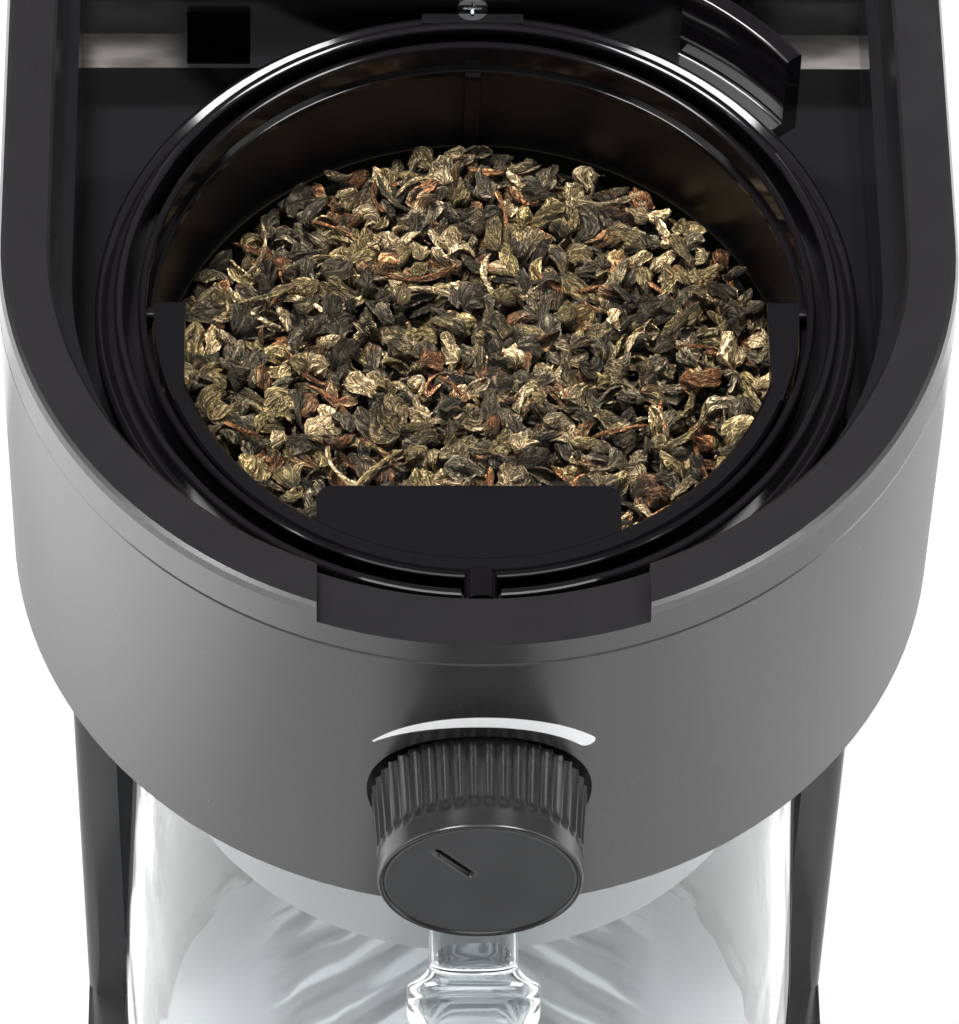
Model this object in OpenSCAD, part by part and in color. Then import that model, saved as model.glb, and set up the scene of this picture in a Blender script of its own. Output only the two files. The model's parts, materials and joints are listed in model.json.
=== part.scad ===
// Iced tea maker with its lid open: a round-fronted brewing head on a rear column,
// a base, a glass jug, and a lift-out basket of leaf tea under the lid.
// The brewing axis runs up through the middle of the basket and the jug.
// +X is to the right, -Y is to the front, and +Z is up from the surface it stands on.

/* [Stance] */
// Height of the rim's flat top above the surface
rim_top = 335; // [325:1:350]
// Height of the brewing head, from the rim's top to its lower edge
head_h = 92; // [90:1:96]
// Depth from the brewing axis to the rear of the head
head_depth = 140; // [138:1:155]
// Thickness of the rubber feet
foot_h = 4; // [3:0.5:6]
// Radius of the rubber feet
foot_r = 8; // [6:0.5:9]
// Height of the base without its feet
base_h = 26; // [25:0.5:30]

/* [Basket] */
// Outer radius of the filter's rim
filter_r = 64.7; // [62:0.1:66]
// Width of the filter's rim
filter_rim_w = 1.7; // [1.5:0.1:2.2]
// Width of the ledge inside the filter's rim
filter_ledge_w = 1; // [0.8:0.1:1.4]
// Depth from the rim's top to the filter's rim
filter_drop = 19.6; // [19:0.1:20.5]
// Depth from the filter's rim to its ledge
filter_ledge_drop = 6.4; // [6:0.1:7]
// Wall of the filter
filter_wall = 1.2; // [1.1:0.1:1.3]
// Wall of the filter's holder and of the well
basket_wall = 2; // [1.6:0.1:2.2]
// Depth from the rim's top to the surface of the tea
tea_drop = 48; // [44:0.5:52]
// Rise of the heap of tea in its middle
tea_rise = 5; // [3:0.5:7]
// Width of the holder's flat lip
holder_lip = 3.7; // [3.4:0.1:4.2]
// Height of the bead round the holder's inner edge above its lip
holder_bead = 2.5; // [2:0.1:3]
// Depth from the rim's top to the holder's lip
holder_drop = 21.5; // [21:0.1:22]
// Height of the holder's lifting tab above its lip
tab_h = 18.5; // [15:0.5:18.5]
// Width of the grip plate on the filter's bail
grip_w = 57; // [45:1:60]
// Reach of the grip plate towards the middle
grip_reach = 19.6; // [16:0.1:22]
// Offset of the grip plate from the middle of the bail
grip_x = -2; // [-4:0.5:4]

/* [Rim and well] */
// Gap between the holder's lip and the wall of the well
well_gap = 4; // [3.5:0.1:5]
// Width of the rim, from the well's wall to the outside of the head
rim_reach = 14; // [13.5:0.1:16]
// Height of the rim's band
rim_h = 10; // [9:0.5:11]
// Width of the finger notch in the front of the rim
notch_w = 60.6; // [50:1:70]
// Depth of the finger notch
notch_h = 4; // [3:0.5:5]
// Depth from the rim's top to the floor of the well
well_depth = 40; // [38:0.5:42]
// Moulded wall of the housings
wall = 2.5; // [2.2:0.1:2.8]

/* [Strength knob] */
// Radius of the knob's face
knob_face_r = 19.1; // [17:0.1:20]
// Growth of the knob's radius towards the housing
knob_flare = 1.2; // [0.6:0.1:1.4]
// Length of the knob in front of the housing
knob_out = 18.6; // [15:0.1:22]
// Depth from the rim's top to the knob's axis
knob_drop = 54.2; // [52:0.1:56]
// Number of flutes round the knob
flutes = 44; // [30:1:50]
// Angle of the pointer at its mildest setting, left of upright
knob_rest = 40; // [36:1:44]
// Module of the pinion and rack
gear_module = 1; // [0.9:0.05:1.05]

/* [Jug] */
// Distance from the head's outside in to the jug's side at its bottom
jug_inset = 15.9; // [15:0.1:20]
// Draw-in of the jug's radius towards its top
jug_taper = 8.7; // [6:0.1:10]
// Thickness of the glass
glass_t = 4; // [3:0.5:4.5]
// Reach of the jug's handle in front of the brewing axis
handle_reach = 100; // [98:1:110]
// Width of the handle's grip
handle_w = 24; // [18:1:28]
// Depth of the skirt of the jug's lid inside the jug
skirt_h = 47; // [20:1:60]
// Gap between the jug's lid and the head above it
jug_lid_gap = 5; // [3:0.5:8]

/* [Column] */
// Gap between the jug and the column behind it
bay_gap = 2; // [1.5:0.1:4]
// Distance from the head's outside in to the column's side
col_inset = 7.7; // [7:0.1:9]
// Distance from the brewing axis back to the column's front edges
wing_front = 20; // [15:1:25]

/* [Lid] */
// Thickness of the lid
lid_t = 15.5; // [15:0.5:18]
// Angle of the lid when open, from closed
lid_open = 95; // [92:1:100]

/* [Start button] */
// Radius of the start button
button_r = 7.5; // [6:0.5:8]
// Travel of the start button
button_travel = 2; // [1.5:0.1:2.5]

/* [Hidden] */
$fn = 96;

// Clearances
e = 0.5;
clear = 0.3;
running = 0.05;

// Radii of the basket, from the filter outwards
filter_in_r = filter_r - filter_rim_w;
basket_in_r = filter_in_r - filter_ledge_w;
basket_r = basket_in_r + filter_wall;
basket_gap = 0.5;
holder_low_in = basket_r + basket_gap;
holder_low_r = holder_low_in + basket_wall;
rim_groove = 2.6;
holder_in_r = filter_r + rim_groove;
holder_up_r = holder_in_r + basket_wall;
holder_r = holder_up_r + holder_lip;
seat_in_r = holder_up_r + e;
seat_r = seat_in_r + basket_wall;
well_r = holder_r + well_gap;
head_r = well_r + rim_reach;
jug_r = head_r - jug_inset;

// Heights of the head
seam_z = rim_top - rim_h;
head_z = rim_top - head_h;
under_t = wall;
well_floor_z = rim_top - well_depth;
well_flange_z = seam_z - 2.2;
well_bottom_z = head_z + under_t + clear;
bottom_t = 2;
back_y = holder_r + 1.5;
seat_z = rim_top - holder_drop - 4.5;
flange_t = 1.5;
ledge_z = rim_top - holder_drop - 8.5;
ledge_w = 8.5;
wall_top_z = rim_top - 4;

// Heights of the basket
filter_z = rim_top - filter_drop;
filter_ledge_z = filter_z - filter_ledge_drop;
filter_flange_z = filter_ledge_z - 1.7;
holder_z = rim_top - holder_drop;
bead_r = basket_wall / 2;
bead_z = holder_z + holder_bead;
holder_ledge_z = filter_flange_z - clear;
funnel_z = well_bottom_z + bottom_t + 12;
outlet_z = head_z + 1.5;
outlet_r = 12;
outlet_hole_r = 20;
filter_bottom_z = funnel_z + 3;
mesh_t = 0.4;
window_top_z = rim_top - tea_drop + 3;
pivot_z = filter_z - 4.4;
pivot_r = 1.5;
bail_w = 3.5;
bail_t = 4.5;
bail_gap = 1.3;
bail_r = filter_in_r - bail_gap;

// Knob, pinion and gate
knob_z = rim_top - knob_drop;
knob_back_r = knob_face_r + knob_flare;
knob_front_t = 2.5;
pointer_w = 2;
pointer_near = 2;
pointer_far = 13.5;
dial_hole_r = knob_back_r + 0.8;
dial_wall = 2.3;
dial_floor_y = -(head_r - wall) + 3.9;
dial_floor_t = 2;
shaft_r = 4;
pinion_teeth = 12;
pitch_r = gear_module * pinion_teeth / 2;
pinion_y = dial_floor_y + dial_floor_t + clear;
pinion_w = 4.5;
gate_y = pinion_y + pinion_w + clear;
gate_t = 1.9;
boss_y = gate_y + gate_t + clear;
rack_z = knob_z - pitch_r;
rack_pitch = PI * gear_module;
tooth_add = 0.9 * gear_module;
tooth_ded = 1.25 * gear_module;
backlash = 0.3;
pressure = 25;
gate_h = 14;
rack_first = -2;
rack_last = 6;

// Base and column
base_top = foot_h + base_h;
base_top_t = 3;
bay_r = jug_r + bay_gap;
col_half = head_r - col_inset;
base_r = col_half;
col_rear = head_depth - 2;
col_corner = 18;
col_edge = 3;
col_lip = 4;
head_corner = 20;
plate_t = 1;
plate_r = jug_r - 3;
cover_t = 2;
cover_z = foot_h + cover_t;
rear_lap = 8;
rear_half = col_half - col_corner - rear_lap;
gland_r = 7;
gland_flange = 2;
gland_x = rear_half + rear_lap - gland_r - gland_flange;
cord_r = 4;
gland_z = foot_h + base_h / 2;
screw_r = 1.4;
screw_head_r = 3;
screw_head_h = 1.6;
screw_sink = 1;
screw_proud = screw_head_h - screw_sink + running;
screw_gap = 0.2;
post_r = 4;

// Water path
hose_r = 5;
hose_in_r = 3.5;
bend_r = 8;
heater_z = foot_h + cover_t + 10;
heater_r = 50;
heater_end_y = 64;
riser_at_x = heater_r;
riser_y = back_y + basket_wall + 1 + hose_r;
tank_wall = 2;
tank_front = riser_y + hose_r + 1.5;
tank_half = col_half - 5;
tank_rear = col_rear - 3.5;
tank_corner = 14;
tank_top = well_flange_z - clear;
tank_out_y = tank_front + 12;
valve_r = 8;
valve_h = base_top - heater_z - bend_r;
nozzle_top = rim_top - 1.6;
nozzle_r = 7;

// Lid and its hinge
lid_r = head_r - 1;
lid_gap = 0.5;
lid_top = rim_top + lid_gap + lid_t;
lid_edge = 6;
hinge_y = head_depth - 6;
hinge_z = rim_top + 7;
knuckle_r = 5.5;
pin_r = 2;
lid_rear = hinge_y - knuckle_r - 1;
lid_straight = lid_rear - head_corner;
panel_z = rim_top + 1;
panel_t = 1.6;
shower_r = 46;
shower_wall = 2;
shower_z = rim_top - 9;
duct_z = panel_z + panel_t + shower_wall + clear;
duct_h = 7.5;
lid_screw_at = [[70, -20], [60, 95]];

// Jug
jug_z = base_top + clear;
jug_lid_t = 8;
jug_top = head_z - jug_lid_gap - jug_lid_t - clear;
jug_floor = 6;
jug_round = 8;
jug_top_r = jug_r - jug_taper;
plug_gap = 0.9;
strap_w = 17.5;
strap_t = 8;
strap_drop = 8;
strap_rise = 42;
strap_bend = 10;
strap_z = jug_top - strap_drop;
strap_low_z = jug_z + strap_rise;

// Reach of the open lid behind the machine and of the knob or the handle in front,
// which set the middle of its length
lid_front = lid_r - lid_edge + hinge_y;
rear_reach = hinge_y - lid_front * cos(lid_open) + (lid_top - hinge_z) * sin(lid_open);
front_reach = max(handle_reach, head_r + knob_out);
mid_y = (rear_reach - front_reach) / 2;

// Points of an arc in a plane
function arc(x, y, r, from, to, n = 5) =
    [for (i = [0:n]) let (a = from + (to - from) * i / n) [x + r * cos(a), y + r * sin(a)]];

// Moves a piece from the brewing axis to the middle of the whole object
module placed() {
    translate([0, -mid_y, 0]) children();
}

// Places a piece on the open lid, drawn as if it were closed
module on_lid() {
    translate([0, hinge_y, hinge_z]) rotate([-lid_open, 0, 0]) translate([0, -hinge_y, -hinge_z]) children();
}

// Copies a piece on the left and on the right
module both_sides() {
    for (s = [0, 1]) mirror([s, 0, 0]) children();
}

// Rounded rectangle between two depths, with its own front and rear corners
module block_plan(half, front, rear, rear_corner, front_corner) {
    translate([-half, front + front_corner]) square([2 * half, rear - rear_corner - front - front_corner]);
    translate([-(half - front_corner), front])
        square([2 * (half - front_corner), rear - rear_corner - front]);
    translate([-(half - rear_corner), front + front_corner])
        square([2 * (half - rear_corner), rear - front - front_corner]);
    both_sides() {
        translate([half - front_corner, front + front_corner]) circle(front_corner);
        translate([half - rear_corner, rear - rear_corner]) circle(rear_corner);
    }
}

// Plan of the head or the lid: a round front, straight sides and a rear with round corners
module head_plan(r, rear, corner) {
    circle(r);
    block_plan(r, 0, rear, corner, 0.01);
}

// Sweeps a profile round that plan; its x is the distance inwards, and its y is the height
module head_sweep(r, straight, corner) {
    rotate([0, 0, 180]) rotate_extrude(angle = 180) translate([r, 0]) mirror([1, 0]) children();
    both_sides() {
        translate([0, straight, 0]) rotate([90, 0, 0])
            linear_extrude(straight) translate([r, 0]) mirror([1, 0]) children();
        translate([r - corner, straight, 0])
            rotate_extrude(angle = 90) translate([corner, 0]) mirror([1, 0]) children();
    }
    translate([-(r - corner), straight, 0]) rotate([90, 0, 90])
        linear_extrude(2 * (r - corner)) translate([corner, 0]) mirror([1, 0]) children();
}

// Plan of the column, drawn in by d, with the round bay for the jug
module col_plan(d) {
    difference() {
        block_plan(col_half - d, wing_front + d, col_rear - d, col_corner - d, max(col_edge - d, 0.5));
        circle(bay_r + d);
    }
}

// Plan of the base, drawn in by d: a round tongue under the jug that joins the column's foot
module base_plan(d) {
    head_plan(base_r - d, col_rear - d, col_corner - d);
}

// Passage between the column and what is above or below it
module col_passage() {
    intersection() {
        col_plan(col_lip);
        translate([-(tank_half - col_lip), 0]) square([2 * (tank_half - col_lip), head_depth]);
    }
}

// Passage for the tank and the riser through the bottom of the head
module tank_passage() {
    block_plan(tank_half + clear, tank_front - clear, tank_rear + clear, tank_corner + clear, 1);
    translate([riser_at_x, riser_y]) circle(hose_r + clear);
    translate([riser_at_x - hose_r - clear, riser_y]) square([2 * (hose_r + clear), tank_front - riser_y]);
}

// Screw that points along +Z, with its head's top at the origin and a cross slot in it
module screw(length) {
    difference() {
        union() {
            cylinder(screw_head_h, r = screw_head_r);
            cylinder(length, r = screw_r);
        }
        for (a = [0, 90]) rotate([0, 0, a]) translate([-screw_head_r * 0.6, -0.3, -e])
            cube([screw_head_r * 1.2, 0.6, e + 0.7]);
    }
}

// Straight hose from the origin along +Z
module hose(length, r, bore) {
    difference() {
        cylinder(length, r = r);
        translate([0, 0, -e]) cylinder(length + 2 * e, r = bore);
    }
}

// Hose elbow from along the depth, at the origin, up to vertical
module elbow(r, bore) {
    translate([0, 0, bend_r]) rotate([0, 90, 0]) rotate_extrude(angle = 90) translate([bend_r, 0])
        difference() {
            circle(r);
            circle(bore);
        }
}

// Ring of a rectangular section
module ring(outer, inner, low, high) {
    translate([0, 0, low]) difference() {
        cylinder(high - low, r = outer);
        translate([0, 0, -e]) cylinder(high - low + 2 * e, r = inner);
    }
}

// Places of the base's four posts, in the front and beside the jug
base_post_at = [[36, -(base_r - wall - post_r - 12)], [base_r - wall - post_r - 2, 30]];
// Places of the feet
foot_at = [[50, -45], [65, col_rear - 25]];
// Heights of the opening in the column's rear
rear_low = base_top + 20;
rear_high = head_z - 15;
rear_t = 2;
rear_screw_x = rear_half + rear_lap / 2;
rear_screw_at = [rear_low + 10, rear_high - 10];
vents = 10;
vent_h = 1.6;
vent_step = 4;

module base_shell() {
    color("#26262a") placed() {
        difference() {
            translate([0, 0, foot_h]) linear_extrude(base_h) base_plan(0);
            translate([0, 0, foot_h - e]) linear_extrude(base_h - base_top_t + e) base_plan(wall);
            translate([0, 0, base_top - base_top_t - e]) linear_extrude(base_top_t + 2 * e) col_passage();
            translate([0, 0, base_top - plate_t]) cylinder(plate_t + e, r = plate_r + running);
            translate([0, -base_r + 2 * wall, gland_z]) rotate([90, 0, 0])
                cylinder(3 * wall, r = button_r + clear);
            translate([gland_x, col_rear - 2 * wall, gland_z]) rotate([-90, 0, 0])
                cylinder(3 * wall, r = gland_r + running);
        }
        both_sides() for (at = base_post_at)
            translate([at[0], at[1], cover_z])
                hose(base_top - base_top_t - cover_z, post_r, screw_r + running);
    }
}

module base_bottom_cover() {
    color("#1b1b1d") placed() difference() {
        translate([0, 0, foot_h]) linear_extrude(cover_t) base_plan(wall + clear);
        both_sides() for (at = base_post_at) translate([at[0], at[1], foot_h - e]) {
            cylinder(cover_t + 2 * e, r = screw_r + screw_gap);
            cylinder(e + screw_sink, r = screw_head_r + screw_gap);
        }
    }
}

module rubber_feet() {
    color("#111111") placed() both_sides() for (at = foot_at)
        translate([at[0], at[1], 0]) rotate_extrude()
            polygon([[0, 0], [foot_r - 1, 0], [foot_r, 1], [foot_r, foot_h], [0, foot_h]]);
}

module jug_plate() {
    color("#c9cbcd") placed() translate([0, 0, base_top - plate_t]) cylinder(plate_t, r = plate_r);
}

module column_shell() {
    color("#2f2f33") placed() difference() {
        translate([0, 0, base_top]) linear_extrude(head_z - base_top) col_plan(0);
        translate([0, 0, base_top - e]) linear_extrude(head_z - base_top + 2 * e) col_plan(wall);
        translate([-rear_half, col_rear - 2 * wall, rear_low])
            cube([2 * rear_half, 3 * wall, rear_high - rear_low]);
        both_sides() for (z = rear_screw_at) translate([rear_screw_x, col_rear + e, z])
            rotate([90, 0, 0]) cylinder(2 * wall, r = screw_r + running);
    }
}

module rear_cover() {
    color("#26262a") placed() difference() {
        translate([-(rear_half + rear_lap), col_rear, rear_low - rear_lap])
            cube([2 * (rear_half + rear_lap), rear_t, rear_high - rear_low + 2 * rear_lap]);
        both_sides() for (z = rear_screw_at)
            translate([rear_screw_x, col_rear + rear_t + e, z]) rotate([90, 0, 0]) {
                cylinder(rear_t + 2 * e, r = screw_r + screw_gap);
                cylinder(e + screw_sink, r = screw_head_r + screw_gap);
            }
        for (i = [1:vents]) translate([-rear_half * 0.6, col_rear - e, rear_low + vent_step * (i + 2)])
            cube([rear_half * 1.2, rear_t + 2 * e, vent_h]);
    }
}

module cover_screws() {
    color("#8a8c8f") placed() {
        both_sides() for (at = base_post_at)
            translate([at[0], at[1], foot_h - screw_proud]) screw(10);
        both_sides() for (z = rear_screw_at)
            translate([rear_screw_x, col_rear + rear_t + screw_proud, z]) rotate([90, 0, 0]) screw(5);
    }
}

// Cup behind the knob, with the bore that its shaft turns in
module dial_cup() {
    translate([0, dial_floor_y + dial_floor_t, knob_z]) rotate([90, 0, 0]) difference() {
        cylinder(head_r, r = dial_hole_r + dial_wall);
        translate([0, 0, dial_floor_t]) cylinder(head_r, r = dial_hole_r);
        translate([0, 0, -e]) cylinder(head_r, r = shaft_r + running);
    }
}

module head_housing() {
    color("#3a3a3d") placed() {
        difference() {
            head_sweep(head_r, head_depth - head_corner, head_corner)
                polygon([[1, head_z], [wall, head_z], [wall, seam_z], [0.3, seam_z], [0, seam_z - 0.3],
                    [0, head_z + 1]]);
            translate([0, dial_floor_y, knob_z]) rotate([90, 0, 0]) cylinder(head_r, r = dial_hole_r);
        }
        intersection() {
            dial_cup();
            translate([0, 0, head_z]) cylinder(head_h, r = head_r - wall / 2);
        }
    }
}

module head_underside() {
    color("#1b1b1d") placed() difference() {
        translate([0, 0, head_z]) linear_extrude(under_t)
            head_plan(head_r - wall - clear, head_depth - wall - clear, head_corner - wall - clear);
        translate([0, 0, head_z - e]) cylinder(under_t + 2 * e, r = outlet_hole_r);
        translate([0, 0, head_z - e]) linear_extrude(under_t + 2 * e) tank_passage();
    }
}

// Profile of the rim: a hollow band with a flat top and a sloping inner face
module rim_profile() {
    translate([0, rim_top]) polygon([[0.5, -rim_h], [0, 0.5 - rim_h], [0.4, -1.8], [1, -0.5], [1.8, 0],
        [rim_reach - 4.4, 0], [rim_reach - 3.8, -0.6], [rim_reach - 2.5, -rim_h - 2],
        [rim_reach - 4.7, -rim_h - 2], [rim_reach - 6.2, -wall], [wall + 0.5, -wall], [wall, -rim_h]]);
}

// Solid stretch of the rim under the finger notch
module notch_floor() {
    intersection() {
        rotate_extrude() translate([head_r, 0]) mirror([1, 0]) translate([0.5, rim_top - rim_h])
            square([rim_reach - 4.5, rim_h - notch_h]);
        translate([-notch_w / 2 - wall, -head_r, 0]) cube([notch_w + 2 * wall, head_r, rim_top]);
    }
}

// One ear of the lid's hinge, between two distances from the middle
module hinge_ear(near, far) {
    translate([near, hinge_y, 0]) rotate([90, 0, 90]) linear_extrude(far - near) difference() {
        union() {
            translate([0, hinge_z]) circle(knuckle_r);
            translate([-knuckle_r, rim_top - 1]) square([2 * knuckle_r, hinge_z - rim_top + 1]);
        }
        translate([0, hinge_z]) circle(pin_r + running / 2);
    }
}

// Distances of the hinge's ears and knuckles from the middle
ear_w = 5;
ear_near = 44;
knuckle_near = ear_near + ear_w + clear;
knuckle_w = 11;
ear_far = knuckle_near + knuckle_w + clear;

module rim_frame() {
    color("#232326") placed() {
        difference() {
            union() {
                head_sweep(head_r, head_depth - head_corner, head_corner) rim_profile();
                notch_floor();
            }
            translate([-notch_w / 2, -head_r - e, rim_top - notch_h])
                cube([notch_w, head_r, notch_h + e]);
        }
        both_sides() {
            hinge_ear(ear_near, ear_near + ear_w);
            hinge_ear(ear_far, ear_far + ear_w);
        }
    }
}

// Plan of the well, let out by d: a round front and a straight back wall
module well_plan(d) {
    intersection() {
        circle(well_r + d);
        translate([-(well_r + d), -(well_r + d)]) square([2 * (well_r + d), well_r + d]);
    }
    translate([-(well_r + d), -e]) square([2 * (well_r + d), back_y + d + e]);
}

// Slot in the well's back wall and its ledge
slot_w = 12.5;
slot_x = -56.5;
// Port in the well's front wall that the gate opens
port_w = 8;
port_h = 6;
gate_low = rack_z - tooth_ded - gate_h;
// Rail under the gate: where it starts, its length, its height, and the lip in front of the gate
rail_x = -16;
rail_w = 42;
rail_t = 3;
rail_lip = 1;
// Screw that holds the well's back wall
well_screw_z = rim_top - holder_drop + 0.5;

// Front boss of the well, which the gate slides on, with the rail under the gate
module gate_boss() {
    difference() {
        union() {
            translate([rail_x, boss_y, gate_low - rail_t - clear])
                cube([rail_w, -seat_in_r - boss_y + 4, gate_h + rail_t]);
            translate([rail_x, gate_y - rail_lip - clear, gate_low - rail_t - clear])
                cube([rail_w, boss_y - gate_y + rail_lip + clear, rail_t]);
            translate([rail_x, gate_y - rail_lip - clear, gate_low - rail_t - clear])
                cube([rail_w, rail_lip, 2 * rail_t]);
        }
        cylinder(rim_top, r = seat_in_r + 0.5);
    }
}

module brew_well() {
    color("#131315") placed() difference() {
        union() {
            difference() {
                translate([0, 0, well_floor_z - bottom_t])
                    linear_extrude(well_flange_z - well_floor_z + bottom_t) well_plan(basket_wall);
                translate([0, 0, well_floor_z]) linear_extrude(rim_top) well_plan(0);
            }
            difference() {
                translate([0, 0, well_flange_z - flange_t]) linear_extrude(flange_t) intersection() {
                    head_plan(head_r - wall - clear, head_depth, head_corner);
                    translate([-head_r, -head_r]) square([2 * head_r, head_r + back_y + basket_wall]);
                }
                translate([0, 0, rim_top / 2]) linear_extrude(rim_top) well_plan(0);
            }
            ring(seat_r, seat_in_r, well_bottom_z, seat_z);
            translate([0, 0, well_bottom_z]) cylinder(bottom_t, r = seat_r);
            translate([-(well_r + 2), back_y, well_floor_z])
                cube([2 * (well_r + 2), basket_wall, wall_top_z - well_floor_z]);
            translate([-(well_r + 2), back_y, wall_top_z - 2])
                cube([2 * (well_r + 2), tank_front - clear - back_y, 2]);
            difference() {
                translate([-well_r, back_y - ledge_w, well_floor_z - 1])
                    cube([2 * well_r, ledge_w + 1, ledge_z - well_floor_z + 1]);
                cylinder(rim_top, r = holder_r + 1);
            }
            gate_boss();
        }
        translate([0, 0, head_z]) cylinder(head_h, r = outlet_hole_r);
        translate([0, 0, well_bottom_z + bottom_t]) cylinder(head_h, r = seat_in_r);
        translate([slot_x, back_y - 7.5, well_floor_z + 2]) cube([slot_w, 7.5 + 2 * basket_wall, 15]);
        translate([-port_w / 2, -head_r, gate_low + 3]) cube([port_w, head_r, port_h]);
        translate([riser_at_x, riser_y, well_floor_z]) cylinder(head_h, r = hose_r + clear);
        translate([0, back_y - e, well_screw_z]) rotate([-90, 0, 0]) {
            cylinder(2 * basket_wall, r = screw_r + running);
            cylinder(e + screw_sink, r = screw_head_r + screw_gap);
        }
    }
}

module well_screw() {
    color("#9a9da0") placed() translate([0, back_y - screw_proud, well_screw_z]) rotate([-90, 0, 0])
        screw(5);
}

module water_tank() {
    color("#3c3f42") placed() difference() {
        translate([0, 0, base_top]) linear_extrude(tank_top - base_top)
            block_plan(tank_half, tank_front, tank_rear, tank_corner, 3);
        translate([0, 0, base_top + tank_wall]) linear_extrude(tank_top)
            block_plan(tank_half - tank_wall, tank_front + tank_wall, tank_rear - tank_wall,
                tank_corner - tank_wall, 1);
        translate([-heater_r, tank_out_y, base_top - e]) cylinder(tank_wall + 2 * e, r = hose_in_r);
    }
}

module tank_strainer() {
    color("#d8d9da") placed() translate([-heater_r, tank_out_y, base_top + tank_wall]) difference() {
        cylinder(3, r = valve_r);
        translate([0, 0, -e]) cylinder(2 + e, r = valve_r - 1);
        for (a = [0:60:300]) rotate([0, 0, a]) translate([valve_r / 2, 0, 0]) cylinder(3 + e, r = 1);
    }
}

module check_valve() {
    color("#e4e4e0") placed() translate([-heater_r, tank_out_y, base_top - valve_h])
        hose(valve_h, valve_r, hose_in_r);
}

module feed_hose() {
    color("#cfd2cc") placed() {
        translate([-heater_r, tank_out_y - bend_r, heater_z]) elbow(hose_r, hose_in_r);
        translate([-heater_r, tank_out_y - bend_r, heater_z]) rotate([90, 0, 0])
            hose(tank_out_y - bend_r - heater_end_y, hose_r, hose_in_r);
    }
}

// Water tube and heating rod of the heater, one against the other
element_r = 4;
element_in = hose_r + element_r - 0.5;
// Thermostat on its pad, and the saddles under the heater
thermostat_r = 8;
thermostat_y = 20;
pad_h = hose_r + 1;
saddle_w = 16;
saddle_d = 12;
saddle_y = 38;

// Half ring and two legs of one tube of the heater
module heater_run(radius, tube_r) {
    translate([0, 0, heater_z]) {
        rotate([0, 0, 180]) rotate_extrude(angle = 180) translate([radius, 0]) circle(tube_r);
        both_sides() translate([radius, 0, 0]) rotate([-90, 0, 0]) cylinder(heater_end_y, r = tube_r);
    }
}

module flow_heater() {
    color("#a9acaf") placed() difference() {
        union() {
            heater_run(heater_r, hose_r);
            heater_run(heater_r - element_in, element_r);
            translate([heater_r - thermostat_r, thermostat_y - thermostat_r, heater_z])
                cube([2 * thermostat_r, 2 * thermostat_r, pad_h]);
        }
        heater_run(heater_r, hose_in_r);
        both_sides() translate([heater_r, heater_end_y - e, heater_z]) rotate([-90, 0, 0])
            cylinder(2 * e, r = hose_in_r);
    }
}

module heater_saddles() {
    color("#b9bbbd") placed() difference() {
        union() {
            translate([-saddle_w / 2, -heater_r - saddle_d / 2, cover_z])
                cube([saddle_w, saddle_d, heater_z - cover_z]);
            both_sides() translate([heater_r - saddle_d / 2, saddle_y, cover_z])
                cube([saddle_d, saddle_d, heater_z - cover_z]);
        }
        heater_run(heater_r, hose_r + running);
        heater_run(heater_r - element_in, element_r + running);
    }
}

module thermostat() {
    color("#d9d6cf") placed() translate([heater_r, thermostat_y, heater_z + pad_h]) {
        cylinder(2, r = thermostat_r);
        translate([0, 0, 2]) cylinder(2, r = thermostat_r - 2);
    }
}

module thermal_fuse() {
    color("#f0f0ee") placed() translate([-heater_r, 8, heater_z + hose_r + 2]) rotate([-90, 0, 0])
        cylinder(24, r = 2);
}

module riser_tube() {
    color("#cfd2cc") placed() translate([riser_at_x, riser_y - bend_r, heater_z]) {
        elbow(hose_r, hose_in_r);
        rotate([90, 0, 0]) hose(riser_y - bend_r - heater_end_y, hose_r, hose_in_r);
        translate([0, bend_r, bend_r]) hose(wall_top_z - heater_z - bend_r, hose_r, hose_in_r);
    }
}

module riser_nozzle() {
    color("#2a2a2c") placed() translate([riser_at_x, riser_y, wall_top_z])
        hose(nozzle_top - wall_top_z, nozzle_r, hose_in_r);
}

module cord_gland() {
    color("#0f0f10") placed() translate([gland_x, col_rear + rear_t, gland_z]) rotate([90, 0, 0])
        difference() {
            union() {
                cylinder(rear_t, r = gland_r + gland_flange);
                cylinder(rear_t + 2 * wall, r = gland_r);
            }
            translate([0, 0, -e]) cylinder(rear_t + 2 * wall + 2 * e, r = cord_r);
        }
}

// Depths of the button's flange, the button's end and the switch
flange_y = -base_r + wall + 1;
stem_y = flange_y + 3;
switch_y = stem_y + button_travel + clear;

module start_switch() {
    color("#e8e6df") placed() translate([-8, switch_y, cover_z])
        cube([16, 10, base_top - base_top_t - cover_z - 4]);
}

module start_button() {
    color("#3b3b3e") placed() translate([0, stem_y, gland_z]) rotate([90, 0, 0]) {
        cylinder(3, r = 4);
        translate([0, 0, 1.5]) cylinder(1.5, r = button_r + 1.5);
        translate([0, 0, 3 - e]) cylinder(e + wall + button_travel + 0.2, r = button_r);
        translate([0, 0, 3 + wall + button_travel]) rotate_extrude()
            polygon([[0, 0], [button_r, 0], [button_r, 0.2], [button_r - 0.8, 1], [0, 1.2]]);
    }
}

module hinge_pins() {
    color("#b9bbbd") placed() both_sides() translate([ear_near + 1, hinge_y, hinge_z]) rotate([0, 90, 0])
        cylinder(ear_far + ear_w - ear_near - 2, r = pin_r);
}

// Outline of the fluted skirt: a shallow round hollow between flat ribs
function flute_r(a) = knob_face_r + 0.45 - 0.45 * pow(abs(sin(a * flutes / 2)), 0.6);

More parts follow.
